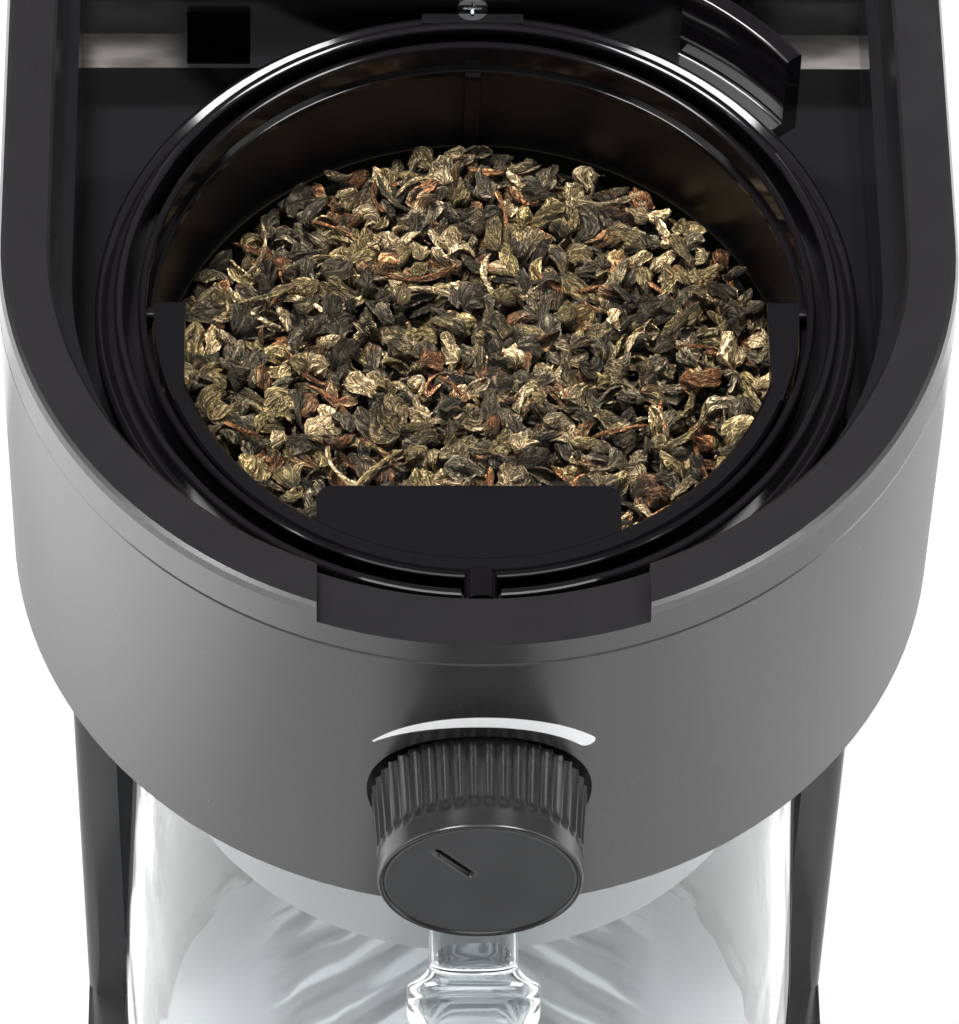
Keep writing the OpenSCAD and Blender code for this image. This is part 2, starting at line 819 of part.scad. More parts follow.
module strength_knob() {
    color("#2c2c2f") placed() translate([0, -head_r - knob_out, knob_z]) rotate([0, -knob_rest, 0])
        rotate([-90, 0, 0]) difference() {
            union() {
                translate([0, 0, 1]) linear_extrude(knob_out - 1)
                    polygon([for (i = [0:flutes * 6 - 1]) let (a = i * 60 / flutes)
                        flute_r(a) * [cos(a), sin(a)]]);
                rotate_extrude() polygon([[0, 0.4], [knob_face_r - 1.6, 0.4], [knob_face_r - 1.2, 0],
                    [knob_face_r - 0.6, 0], [knob_face_r - 0.1, 0.5], [knob_face_r - 0.1, 2], [0, 2]]);
                translate([0, 0, knob_out - 1]) cylinder(2, r = knob_back_r);
            }
            translate([0, 0, knob_front_t]) cylinder(knob_out, r = knob_face_r - 3);
            translate([-pointer_w / 2, -pointer_far, -e])
                cube([pointer_w, pointer_far - pointer_near, e + 1.2]);
        }
}

module knob_shaft() {
    start_y = knob_front_t - head_r - knob_out;
    color("#d5d5d0") placed() translate([0, start_y, knob_z]) rotate([0, -knob_rest, 0])
        rotate([-90, 0, 0]) {
            cylinder(pinion_y + pinion_w - start_y, r = shaft_r);
            cylinder(3, r = knob_face_r - 3);
            translate([0, 0, pinion_y - start_y]) rotate([0, 0, knob_rest])
                linear_extrude(pinion_w) pinion_plan();
        }
}

// Involute flank of the pinion: a point at a radius, and the half angle of a tooth there
base_circle = pitch_r * cos(pressure);
radian = 180 / PI;
function unwind(r) = r <= base_circle ? 0
    : sqrt(pow(r / base_circle, 2) - 1) * radian - acos(base_circle / r);
function tooth_half(r) = 90 / pinion_teeth - backlash / 4 / pitch_r * radian + unwind(pitch_r) - unwind(r);
pinion_root = pitch_r - tooth_ded;
pinion_tip = pitch_r + tooth_add;
flank = [for (i = [0:4]) pinion_root + (pinion_tip - pinion_root) * i / 4];

// Pinion with a gap between two teeth at its lowest point
module pinion_plan() {
    polygon([for (k = [0:pinion_teeth - 1], i = [-5:4])
        let (r = i < 0 ? flank[i + 5] : flank[4 - i], side = i < 0 ? -1 : 1)
        let (a = (k + 0.5) * 360 / pinion_teeth + 90 + side * tooth_half(r))
        r * [cos(a), sin(a)]]);
}

// One tooth of the rack, pointing up, with its middle at x
module rack_tooth(x) {
    half = rack_pitch / 4 - backlash / 4;
    translate([x, 0]) polygon([[-half - tooth_ded * tan(pressure), -tooth_ded - e],
        [-half - tooth_ded * tan(pressure), -tooth_ded], [-half + tooth_add * tan(pressure), tooth_add],
        [half - tooth_add * tan(pressure), tooth_add], [half + tooth_ded * tan(pressure), -tooth_ded],
        [half + tooth_ded * tan(pressure), -tooth_ded - e]]);
}

module strength_gate() {
    from = (rack_first - 0.5) * rack_pitch;
    span = (rack_last - rack_first + 1) * rack_pitch;
    color("#d5d5d0") placed() translate([0, 0, rack_z]) {
        translate([0, pinion_y + pinion_w, 0]) rotate([90, 0, 0]) linear_extrude(pinion_w) {
            for (k = [rack_first:rack_last]) rack_tooth(k * rack_pitch);
            translate([from, -tooth_ded - 3.5]) square([span, 3.5]);
        }
        difference() {
            translate([from, pinion_y + pinion_w - e, -tooth_ded - gate_h])
                cube([span, gate_t + clear + e, gate_h]);
            translate([port_w, gate_y - 2 * e, -tooth_ded - gate_h + 3])
                cube([port_w, gate_t + 4 * e, port_h]);
            translate([from - e, gate_y - 5, -tooth_ded - gate_h - e])
                cube([span + 2 * e, 5, gate_h - 3.5 + e]);
        }
    }
}

// Lifting tab of the holder, width of the stop behind it, and radius of the filter's peg
tab_from = 37;
tab_span = 20.3;
tab_in = holder_r + 2.3;
tab_out = tab_in + 3.7;
tab_round = 0.7;
bracket_w = 20;
peg_r = 3.2;

module filter_holder() {
    lip_low = seat_z + clear;
    color("#161618") placed() difference() {
        union() {
            rotate_extrude() polygon(concat(
                [[holder_in_r, holder_ledge_z]],
                arc(holder_in_r + bead_r, bead_z - bead_r, bead_r, 180, 0, 8),
                [[holder_up_r, holder_z - 0.7], [holder_up_r + 1.2, holder_z - 0.7]],
                arc(holder_r - 1.2, holder_z - 1.2, 1.2, 90, 0),
                [[holder_r, lip_low], [holder_up_r, lip_low], [holder_up_r, holder_ledge_z - basket_wall],
                [holder_low_r, holder_ledge_z - basket_wall], [holder_low_r, funnel_z],
                [outlet_r, outlet_z + 5], [outlet_r, outlet_z], [outlet_r - basket_wall, outlet_z],
                [outlet_r - basket_wall, outlet_z + 6], [holder_low_in, funnel_z + 1],
                [holder_low_in, holder_ledge_z]]));
            rotate([0, 0, tab_from]) rotate_extrude(angle = tab_span) polygon(concat(
                [[holder_r - 1.5, lip_low], [holder_r - 1.5, holder_z - 0.3]],
                arc(tab_in - tab_round, holder_z - 0.3 + tab_round, tab_round, -90, 0),
                arc(tab_in + tab_round, holder_z + tab_h - tab_round, tab_round, 180, 90),
                arc(tab_out - tab_round, holder_z + tab_h - tab_round, tab_round, 90, 0),
                [[tab_out, lip_low]]));
            translate([-bracket_w / 2, holder_up_r + 1, lip_low])
                cube([bracket_w, holder_lip - 1.3, holder_z - lip_low + 0.2]);
            intersection() {
                ring(holder_r - 1.2, holder_r - 2.6, lip_low, holder_z + 0.6);
                translate([-13, -holder_r, 0]) cube([26, holder_r, rim_top]);
            }
        }
        translate([-peg_r - e, -holder_up_r - e, holder_z])
            cube([2 * (peg_r + e), basket_wall + 2 * e, head_h]);
    }
}

// Rib or window of the filter's side wall, at an angle
ribs = 10;
rib_w = 6;

module filter_frame() {
    rim_round = filter_rim_w / 2 - running;
    ledge_cut = 0.4;
    seam_h = 26;
    color("#141416") placed() {
        difference() {
            rotate_extrude() polygon(concat(
                [[filter_in_r, filter_ledge_z]],
                arc(filter_in_r + rim_round, filter_z - rim_round, rim_round, 180, 90, 4),
                arc(filter_r - rim_round, filter_z - rim_round, rim_round, 90, 0, 4),
                [[filter_r, filter_flange_z], [basket_r, filter_flange_z], [basket_r, filter_bottom_z],
                [basket_in_r - 4, filter_bottom_z], [basket_in_r - 4, filter_bottom_z + 1.6],
                [basket_in_r, filter_bottom_z + 1.6]],
                arc(basket_in_r + ledge_cut, filter_ledge_z - ledge_cut, ledge_cut, 180, 90, 4)));
            for (i = [0:ribs - 1]) rotate([0, 0, (i + 0.5) * 360 / ribs])
                translate([basket_in_r - 2, -(PI * basket_r / ribs - rib_w / 2), filter_bottom_z + 3])
                    cube([8, 2 * PI * basket_r / ribs - rib_w, window_top_z - filter_bottom_z - 12]);
            translate([-filter_r - 1, 0, pivot_z]) rotate([0, 90, 0])
                cylinder(2 * filter_r + 2, r = pivot_r + running);
        }
        for (a = [0, 90]) rotate([0, 0, a]) translate([-basket_in_r + 3, -rib_w / 2, filter_bottom_z])
            cube([2 * basket_in_r - 6, rib_w, 1.6]);
        translate([-1.5, basket_in_r - 1.2, filter_ledge_z - seam_h]) cube([3, 1.7, seam_h - ledge_cut]);
        intersection() {
            translate([0, 0, filter_z - 1.2]) rotate([90, 0, 0]) cylinder(holder_up_r + 0.7, r = peg_r);
            translate([-2 * peg_r, -holder_r, holder_z + clear])
                cube([4 * peg_r, holder_r - filter_in_r - 0.4, 2 * peg_r]);
        }
    }
}

module filter_mesh() {
    r = basket_in_r - running;
    low = filter_bottom_z + 1.6 + running;
    color("#8d9092") placed() difference() {
        translate([0, 0, low]) cylinder(window_top_z - low - 4, r = r);
        translate([0, 0, low + mesh_t]) cylinder(head_h, r = r - mesh_t);
        translate([-2, basket_in_r - 1.4, low - e]) cube([4, 3, head_h]);
    }
}

module tea_leaves() {
    r = basket_in_r - mesh_t - 0.6;
    low = filter_bottom_z + 1.6 + mesh_t + 0.2;
    top = rim_top - tea_drop;
    color("#4a4630") placed() difference() {
        rotate_extrude() polygon(concat([[0, low], [r, low], [r, top]],
            [for (i = [1:8]) [r * (1 - i / 8), top + tea_rise * sin(i * 90 / 8)]]));
        translate([-2.2, basket_in_r - 1.6, low - e]) cube([4.4, 4, head_h]);
    }
}

// Plan of the bail's grip: a plate with round corners
module grip_plan() {
    corner = 3;
    far = bail_r - bail_w - grip_reach + 3;
    near = bail_r - bail_w / 2;
    translate([grip_x, 0]) {
        translate([-grip_w / 2 + corner, -near]) square([grip_w - 2 * corner, near - far]);
        translate([-grip_w / 2, -near]) square([grip_w, near - far - corner]);
        both_sides() translate([grip_w / 2 - corner, -far - corner]) circle(corner);
    }
}

module bail_handle() {
    low = pivot_z - 2.4;
    arm_w = 6;
    arm_len = 22;
    arm_in = bail_r - arm_w;
    arm_end_r = pivot_z - low;
    color("#2b2b2d") placed() {
        rotate([0, 0, 180]) rotate_extrude(angle = 180) polygon([[bail_r - bail_w, low], [bail_r - 0.5, low],
            [bail_r, low + 0.5], [bail_r, low + bail_t - 0.5], [bail_r - 0.5, low + bail_t],
            [bail_r - bail_w + 0.6, low + bail_t], [bail_r - bail_w, low + bail_t - 0.6]]);
        translate([0, 0, low + 0.6]) linear_extrude(bail_t - 1.2) intersection() {
            grip_plan();
            circle(bail_r - 0.6);
        }
        both_sides() {
            intersection() {
                union() {
                    translate([arm_in, -arm_len, low]) cube([arm_w, arm_len, bail_t]);
                    translate([arm_in, 0, pivot_z]) rotate([0, 90, 0]) cylinder(arm_w, r = arm_end_r);
                }
                translate([0, 0, low]) cylinder(bail_t, r = bail_r);
            }
            translate([arm_in, 0, pivot_z]) rotate([0, 90, 0])
                cylinder(filter_r - arm_in - clear, r = pivot_r);
        }
    }
}

module lid_shell() {
    low = rim_top + lid_gap;
    color("#2b2b2e") placed() on_lid() difference() {
        union() {
            head_sweep(lid_r, lid_straight, head_corner) polygon(concat(
                [[wall, low], [0.6, low], [0, low + 0.6]],
                arc(lid_edge, lid_top - lid_edge, lid_edge, 180, 90, 8),
                arc(lid_edge, lid_top - lid_edge, lid_edge - wall, 90, 180, 8)));
            translate([0, 0, lid_top - wall]) linear_extrude(wall)
                head_plan(lid_r - lid_edge + 0.01, lid_rear - lid_edge + 0.01, head_corner - lid_edge);
            both_sides() {
                translate([knuckle_near, hinge_y, hinge_z]) rotate([0, 90, 0])
                    cylinder(knuckle_w, r = knuckle_r);
                translate([knuckle_near, lid_rear - wall, hinge_z - knuckle_r + 1])
                    cube([knuckle_w, hinge_y - lid_rear + wall, 2 * knuckle_r - 2]);
                for (at = lid_screw_at) translate([at[0], at[1], panel_z + panel_t])
                    cylinder(lid_top - wall / 2 - panel_z - panel_t, r = post_r);
            }
        }
        both_sides() {
            translate([knuckle_near - e, hinge_y, hinge_z]) rotate([0, 90, 0])
                cylinder(knuckle_w + 2 * e, r = pin_r + running);
            for (at = lid_screw_at) translate([at[0], at[1], panel_z]) cylinder(9, r = screw_r + running);
        }
    }
}

module lid_panel() {
    color("#18181a") placed() on_lid() difference() {
        translate([0, 0, panel_z]) linear_extrude(panel_t)
            head_plan(lid_r - wall - e, lid_rear - wall - e, head_corner - wall - e);
        translate([0, 0, panel_z - e]) cylinder(panel_t + 2 * e, r = shower_r + shower_wall + clear);
        translate([riser_at_x, riser_y, panel_z - e]) cylinder(panel_t + 2 * e, r = hose_r + clear);
        both_sides() for (at = lid_screw_at) translate([at[0], at[1], panel_z - e])
            cylinder(panel_t + 2 * e, r = screw_r + 0.1);
    }
}

module shower_plate() {
    flange_z = panel_z + panel_t;
    out = shower_r + shower_wall;
    color("#1c1c1e") placed() on_lid() difference() {
        rotate_extrude() polygon([[0, shower_z], [out - 1.5, shower_z], [out, shower_z + 1.5],
            [out, flange_z], [out + 5, flange_z], [out + 5, flange_z + shower_wall],
            [shower_r, flange_z + shower_wall],
            [shower_r, shower_z + shower_wall], [0, shower_z + shower_wall]]);
        for (k = [1:4], i = [0:6 * k - 1]) rotate([0, 0, i * 60 / k])
            translate([k * shower_r / 4.6, 0, shower_z - e]) cylinder(shower_wall + 2 * e, r = 1);
    }
}

// Outline of the duct from above the nozzle to the middle of the shower plate
module duct_plan(r) {
    run = norm([riser_at_x, riser_y]);
    neck = r - 1;
    circle(r);
    translate([riser_at_x, riser_y]) circle(r);
    rotate([0, 0, atan2(riser_y, riser_at_x)]) translate([0, -neck]) square([run, 2 * neck]);
}

module lid_duct() {
    duct_r = 8;
    skin = 1.5;
    color("#2a2a2c") placed() on_lid() difference() {
        union() {
            translate([0, 0, duct_z]) linear_extrude(duct_h) duct_plan(duct_r);
            translate([riser_at_x, riser_y, panel_z - 1.8]) cylinder(duct_z - panel_z + 2.8, r = hose_r);
        }
        translate([0, 0, duct_z + skin]) linear_extrude(duct_h - 2 * skin) duct_plan(duct_r - skin);
        translate([riser_at_x, riser_y, panel_z - 3])
            cylinder(duct_z - panel_z + 3 + 2 * skin, r = hose_in_r);
        translate([0, 0, duct_z - e]) cylinder(2 * skin, r = hose_in_r);
    }
}

module inlet_gasket() {
    color("#6f2f28") placed() on_lid() translate([riser_at_x, riser_y, 0])
        ring(nozzle_r + 1, hose_r + running, nozzle_top + clear, panel_z);
}

module lid_screws() {
    color("#8a8c8f") placed() on_lid() both_sides() for (at = lid_screw_at)
        translate([at[0], at[1], panel_z - screw_head_h]) screw(8);
}

// Outside of the jug, as a solid profile with round lower corners
function jug_outline(d, low, r) = concat([[0, low]], arc(jug_r - d - r, low + r, r, -90, 0),
    [[jug_top_r - d, jug_top]]);

module jug() {
    color("#dfe8ea", 0.35) placed() rotate_extrude() difference() {
        polygon(concat(jug_outline(0, jug_z, jug_round), [[0, jug_top]]));
        polygon(concat(jug_outline(glass_t, jug_z + jug_floor, jug_round - 2),
            [[jug_top_r - glass_t, jug_top + e], [0, jug_top + e]]));
    }
}

// Side view of the handle: a loop with round corners in front of the jug
module handle_loop(d, round_r) {
    low = strap_low_z + d;
    high = strap_z - d;
    far = handle_reach - d;
    translate([-far + round_r, low]) square([far - round_r, high - low]);
    translate([-far, low + round_r]) square([far, high - low - 2 * round_r]);
    for (z = [low + round_r, high - round_r]) translate([-far + round_r, z]) circle(round_r);
}

module jug_handle() {
    color("#dfe8ea", 0.35) placed() difference() {
        union() {
            translate([-strap_w / 2, 0, 0]) rotate([90, 0, 90]) linear_extrude(strap_w) difference() {
                handle_loop(0, strap_bend);
                handle_loop(strap_t, strap_bend / 2);
            }
            translate([-handle_w / 2, 0, 0]) rotate([90, 0, 90]) linear_extrude(handle_w) difference() {
                handle_loop(1, strap_bend - 1);
                handle_loop(strap_t - 1, strap_bend / 2 + 1);
                translate([-handle_reach + strap_t + 4, 0]) square([handle_reach, rim_top]);
            }
        }
        rotate_extrude() polygon(concat(jug_outline(0, jug_z, jug_round), [[0, jug_top]]));
    }
}

module jug_lid() {
    plug_r = jug_top_r - glass_t - plug_gap;
    low = jug_top + clear;
    mouth_r = 24;
    mouth_h = 8;
    color("#1d1d1f") placed() difference() {
        rotate_extrude() polygon([[mouth_r, low - mouth_h], [mouth_r + 2, low - mouth_h], [mouth_r + 2, low],
            [plug_r - 2, low], [plug_r - 2, low - skirt_h], [plug_r, low - skirt_h], [plug_r, low],
            [jug_top_r - 0.5, low], [jug_top_r, low + 0.5], [jug_top_r, low + 3], [jug_top_r - 2, low + 5],
            [mouth_r + 16, low + 5], [mouth_r + 8, low + jug_lid_t], [mouth_r, low + jug_lid_t]]);
        for (a = [-40:10:40]) rotate([0, 0, 90 + a])
            translate([plug_r - 12, -2, low - e]) cube([8, 4, jug_lid_t + e]);
    }
}

module jug_lid_seal() {
    plug_r = jug_top_r - glass_t - plug_gap;
    color("#b9bcb8") placed() ring(plug_r + 0.5, plug_r + running / 2, jug_top - 5, jug_top - 2);
}

base_shell();
base_bottom_cover();
rubber_feet();
jug_plate();
column_shell();
rear_cover();
cover_screws();
head_housing();
head_underside();
rim_frame();
brew_well();
well_screw();
water_tank();
tank_strainer();
check_valve();
feed_hose();
flow_heater();
heater_saddles();
thermostat();
thermal_fuse();
riser_tube();
riser_nozzle();
cord_gland();
start_switch();
hinge_pins();
strength_knob();
knob_shaft();
strength_gate();
start_button();
filter_holder();
filter_frame();
filter_mesh();
tea_leaves();
bail_handle();
lid_shell();
lid_panel();
shower_plate();
lid_duct();
inlet_gasket();
lid_screws();
jug();
jug_handle();
jug_lid();
jug_lid_seal();
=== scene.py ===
"""Looks of the iced tea maker: its finishes, its studio, and the pieces that stand for plain solids."""
import json
import math

import bpy
import numpy as np
from mathutils import Matrix, Vector


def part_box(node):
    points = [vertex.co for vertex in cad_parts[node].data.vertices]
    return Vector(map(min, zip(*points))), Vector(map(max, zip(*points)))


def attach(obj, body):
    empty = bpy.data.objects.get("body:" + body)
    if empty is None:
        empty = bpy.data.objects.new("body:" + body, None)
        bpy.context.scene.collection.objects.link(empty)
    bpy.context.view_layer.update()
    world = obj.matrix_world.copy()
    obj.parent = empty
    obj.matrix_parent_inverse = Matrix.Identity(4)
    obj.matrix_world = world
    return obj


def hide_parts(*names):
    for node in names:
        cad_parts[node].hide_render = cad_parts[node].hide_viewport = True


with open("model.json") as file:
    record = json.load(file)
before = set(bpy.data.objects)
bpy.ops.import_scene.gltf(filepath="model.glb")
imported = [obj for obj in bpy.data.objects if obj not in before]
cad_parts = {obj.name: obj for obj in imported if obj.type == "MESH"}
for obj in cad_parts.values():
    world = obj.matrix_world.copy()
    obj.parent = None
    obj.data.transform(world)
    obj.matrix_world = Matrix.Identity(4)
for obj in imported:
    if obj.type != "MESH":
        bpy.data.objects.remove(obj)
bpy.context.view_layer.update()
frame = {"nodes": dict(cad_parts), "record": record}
NODES = frame["nodes"]
MM = 0.001

# Places of the object, from the frame
JUG_LOW, JUG_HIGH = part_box("jug")
AXIS_Y = (JUG_LOW.y + JUG_HIGH.y) / 2
HEAD_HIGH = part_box("head_housing")[1]
HEAD_R = HEAD_HIGH.x
RIM_H = 10 * MM
RIM_TOP = HEAD_HIGH.z + RIM_H
KNOB_LOW, KNOB_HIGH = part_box("strength_knob")
KNOB_Z = (KNOB_LOW.z + KNOB_HIGH.z) / 2
TEA_LOW, TEA_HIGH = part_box("tea_leaves")
TEA_R = TEA_HIGH.x

# Camera of the photo: its focal length in pixels and where it stands
PHOTO_H = 1024
FOCAL_PX = 6500
SENSOR = 36
CAM_ELEVATION = math.radians(54.265)
CAM_AZIMUTH = math.radians(-2.073)
CAM_ROLL = math.radians(1.727)
CAM_DISTANCE = 1.1876
CAM_TARGET = Vector((-0.61 * MM, AXIS_Y - 63.85 * MM, RIM_TOP))


def make_camera():
    """Camera at the photo's viewing angle, turned a little about its own axis."""
    flat = math.cos(CAM_ELEVATION)
    back = Vector((math.sin(CAM_AZIMUTH) * flat, -math.cos(CAM_AZIMUTH) * flat, math.sin(CAM_ELEVATION)))
    right = Vector((0, 0, 1)).cross(back).normalized()
    up = back.cross(right)
    c, s = math.cos(CAM_ROLL), math.sin(CAM_ROLL)
    data = bpy.data.cameras.new("Camera")
    data.sensor_fit = "VERTICAL"
    data.sensor_height = SENSOR
    data.lens = FOCAL_PX / PHOTO_H * SENSOR
    data.clip_start = 0.05
    data.clip_end = 50
    camera = bpy.data.objects.new("Camera", data)
    turn = Matrix((c * right + s * up, c * up - s * right, back)).transposed().to_4x4()
    camera.matrix_world = Matrix.Translation(CAM_TARGET + CAM_DISTANCE * back) @ turn
    bpy.context.scene.collection.objects.link(camera)
    bpy.context.scene.camera = camera


# Most of a noise lies between these values
NOISE_LOW, NOISE_HIGH = 0.3, 0.7
# Sizes of the slow changes in a surface: of its tone and of its gloss
TONE_PATCH = 30 * MM
GLOSS_PATCH = 9 * MM


class Shader:
    """A material's node tree, with short ways to add nodes and join them."""

    def __init__(self, name):
        self.material = bpy.data.materials.new(name)
        self.material.use_nodes = True
        self.tree = self.material.node_tree
        self.tree.nodes.clear()
        self.out = self.node("ShaderNodeOutputMaterial")

    def node(self, kind, **settings):
        """Adds a node; a setting is a property of it, or the value of the input of that name."""
        made = self.tree.nodes.new(kind)
        for key, value in settings.items():
            if hasattr(made, key):
                setattr(made, key, value)
            else:
                made.inputs[key.replace("_", " ")].default_value = value
        return made

    def link(self, source, target):
        self.tree.links.new(source, target)

    def principled(self, **settings):
        """The main shader, joined to the output."""
        bsdf = self.node("ShaderNodeBsdfPrincipled")
        for key, value in settings.items():
            bsdf.inputs[key.replace("_", " ")].default_value = value
        self.link(bsdf.outputs[0], self.out.inputs["Surface"])
        return bsdf

    def mixed(self, share, first, second):
        """Joins two shaders to the output, the second by its share."""
        mix = self.node("ShaderNodeMixShader")
        for socket, source in zip(mix.inputs, (share, first, second)):
            self.link(source, socket)
        self.link(mix.outputs[0], self.out.inputs["Surface"])

    def place(self, stretch=(1, 1, 1)):
        """Coordinates on the object, in metres, stretched along its axes."""
        coords = self.node("ShaderNodeTexCoord")
        mapping = self.node("ShaderNodeMapping", Scale=stretch)
        self.link(coords.outputs["Object"], mapping.inputs["Vector"])
        return mapping.outputs[0]

    def axes(self, vector=None):
        """The X, Y and Z of a vector, or of the place on the object."""
        split = self.node("ShaderNodeSeparateXYZ")
        self.link(vector or self.place(), split.inputs[0])
        return split.outputs

    def noise(self, size, detail=2.0, stretch=(1, 1, 1), distortion=0.0):
        """Noise whose lumps are about the given size across."""
        made = self.node("ShaderNodeTexNoise", Scale=1 / size, Detail=detail, Distortion=distortion)
        self.link(self.place(stretch), made.inputs["Vector"])
        return made.outputs[0]

    def calc(self, operation, first, second=None):
        """A value worked out from one or two others, where the second may be a plain number."""
        made = self.node("ShaderNodeMath", operation=operation)
        self.link(first, made.inputs[0])
        if isinstance(second, (int, float)):
            made.inputs[1].default_value = second
        elif second is not None:
            self.link(second, made.inputs[1])
        return made.outputs[0]

    def ramp(self, value, stops):
        """Colours between stops, each of a place and a colour."""
        made = self.node("ShaderNodeValToRGB")
        bar = made.color_ramp
        while len(bar.elements) < len(stops):
            bar.elements.new(0.5)
        for element, (at, colour) in zip(bar.elements, stops):
            element.position = at
            element.color = (*colour, 1)
        self.link(value, made.inputs[0])
        return made.outputs[0]

    def spread(self, value, start, end, low, high, kind="LINEAR"):
        """A change from one number to another over a span of the value."""
        made = self.node("ShaderNodeMapRange", interpolation_type=kind)
        for key, number in (("From Min", start), ("From Max", end), ("To Min", low), ("To Max", high)):
            made.inputs[key].default_value = number
        self.link(value, made.inputs["Value"])
        return made.outputs[0]

    def between(self, noise, low, high):
        """A noise spread between two numbers."""
        return self.spread(noise, NOISE_LOW, NOISE_HIGH, low, high)

    def fade(self, value, start, end, low, high):
        """A smooth change from one number to another over a span of the value."""
        return self.spread(value, start, end, low, high, "SMOOTHSTEP")

    def clouded(self, bsdf, low, high, size=TONE_PATCH):
        """Sets a base colour that drifts slowly between two tones."""
        tone = self.ramp(self.noise(size, detail=3), [(NOISE_LOW, low), (NOISE_HIGH, high)])
        self.link(tone, bsdf.inputs["Base Color"])

    def gloss(self, bsdf, low, high, size=GLOSS_PATCH):
        """Sets a roughness that drifts between two values."""
        self.link(self.between(self.noise(size, detail=4), low, high), bsdf.inputs["Roughness"])

    def bump(self, bsdf, height, depth):
        made = self.node("ShaderNodeBump", Strength=1.0, Distance=depth)
        self.link(height, made.inputs["Height"])
        self.link(made.outputs[0], bsdf.inputs["Normal"])


def scaled(colour, factor):
    return tuple(c * factor for c in colour)


def moulded(name, colour, roughness, grain, depth, vary=0.04, spread=0.02, **more):
    """Moulded or painted plastic: a fine grain, and slow changes of tone and gloss."""
    sh = Shader(name)
    bsdf = sh.principled(**more)
    sh.clouded(bsdf, scaled(colour, 1 - vary), scaled(colour, 1 + vary))
    sh.gloss(bsdf, roughness - spread, roughness + spread)
    sh.bump(bsdf, sh.noise(grain), depth)
    return sh.material


# Metal: width of its fine lines, how much darker they get, and how much the roughness varies
LINE_W = 0.6 * MM
LINE_DARK = 0.85
LINE_SPREAD = 0.06


def metal(name, colour, roughness, stretch, depth):
    """Metal with fine lines along one axis."""
    sh = Shader(name)
    bsdf = sh.principled(Metallic=1.0)
    lines = sh.noise(LINE_W, detail=3, stretch=stretch)
    tone = sh.ramp(lines, [(NOISE_LOW, scaled(colour, LINE_DARK)), (NOISE_HIGH, colour)])
    sh.link(tone, bsdf.inputs["Base Color"])
    sh.link(sh.between(lines, roughness - LINE_SPREAD, roughness + LINE_SPREAD), bsdf.inputs["Roughness"])
    sh.bump(bsdf, lines, depth)
    return sh.material


# Glass: size and depth of the waves in its surface, size of its smears
WAVE_SIZE = 26 * MM
WAVE_DEPTH = 0.35 * MM
SMEAR_SIZE = 4 * MM
LAMP_TINT = (0.9, 0.92, 0.92, 1)


def clear_glass(name, tint):
    """Thick pressed glass with slow waves in its surface; lamps shine through it."""
    sh = Shader(name)
    bsdf = sh.principled(Base_Color=(*tint, 1), IOR=1.47, Transmission_Weight=1.0)
    sh.link(sh.between(sh.noise(SMEAR_SIZE), 0.0, 0.015), bsdf.inputs["Roughness"])
    waves = sh.noise(WAVE_SIZE, detail=1, stretch=(1, 1, 0.35), distortion=0.6)
    sh.bump(bsdf, waves, WAVE_DEPTH)
    through = sh.node("ShaderNodeBsdfTransparent", Color=LAMP_TINT)
    path = sh.node("ShaderNodeLightPath")
    sh.mixed(path.outputs["Is Shadow Ray"], bsdf.outputs[0], through.outputs[0])
    return sh.material


# Plate under the jug: slant, width and depth of its streaks, and how far they are drawn out; the streaks are
# a painted sheen in its colour
STREAK_SLANT = math.radians(34)
STREAK_W = 6 * MM
STREAK_DEPTH = 0.03 * MM
STREAK_DRAWN = (0.1, 1, 1)
# Tones of the streaks, from grey to pale: a painted sheen in the plate's colour
PAINTED_SHEEN_TONES = [(0.4, (0.13, 0.135, 0.139)), (0.5, (0.25, 0.257, 0.262)), (0.57, (0.6, 0.61, 0.615))]
# Half width of the plate where the streaks start to fade and where they are gone, and its tone there
STREAK_FADE = 34 * MM
STREAK_END = 52 * MM
PLAIN_PLATE = (0.37, 0.382, 0.39, 1)


def painted_sheen_plate():
    """Pale polished plate whose sheen is painted into its colour as slanting streaks, the same on the left
    and on the right.
    """
    sh = Shader("steel_plate")
    bsdf = sh.principled(Metallic=0.2)
    x, y, _ = sh.axes()
    side = sh.calc("ABSOLUTE", x)
    mirrored = sh.node("ShaderNodeCombineXYZ")
    sh.link(side, mirrored.inputs["X"])
    sh.link(y, mirrored.inputs["Y"])
    slanted = sh.node("ShaderNodeMapping", Rotation=(0, 0, STREAK_SLANT))
    sh.link(mirrored.outputs[0], slanted.inputs["Vector"])
    drawn_out = sh.node("ShaderNodeMapping", Scale=STREAK_DRAWN)
    sh.link(slanted.outputs[0], drawn_out.inputs["Vector"])
    streaks = sh.node("ShaderNodeTexNoise", Scale=1 / STREAK_W, Detail=1.5, Distortion=0.3)
    sh.link(drawn_out.outputs[0], streaks.inputs["Vector"])
    tone = sh.node("ShaderNodeMix", data_type="RGBA")
    share, _, _, _, _, _, first, second = tone.inputs[:8]
    sh.link(sh.fade(side, STREAK_FADE, STREAK_END, 0.0, 1.0), share)
    sh.link(sh.ramp(streaks.outputs[0], PAINTED_SHEEN_TONES), first)
    second.default_value = PLAIN_PLATE
    sh.link(tone.outputs[2], bsdf.inputs["Base Color"])
    sh.link(sh.between(streaks.outputs[0], 0.5, 0.35), bsdf.inputs["Roughness"])
    sh.bump(bsdf, streaks.outputs[0], STREAK_DEPTH)
    return sh.material


# Rim: the upward part of the normal on its upright band and on its flat top, and the sheen of both
BAND_UP, TOP_UP = 0.3, 0.8
BAND_SHEEN, TOP_SHEEN = 0.62, 0.2


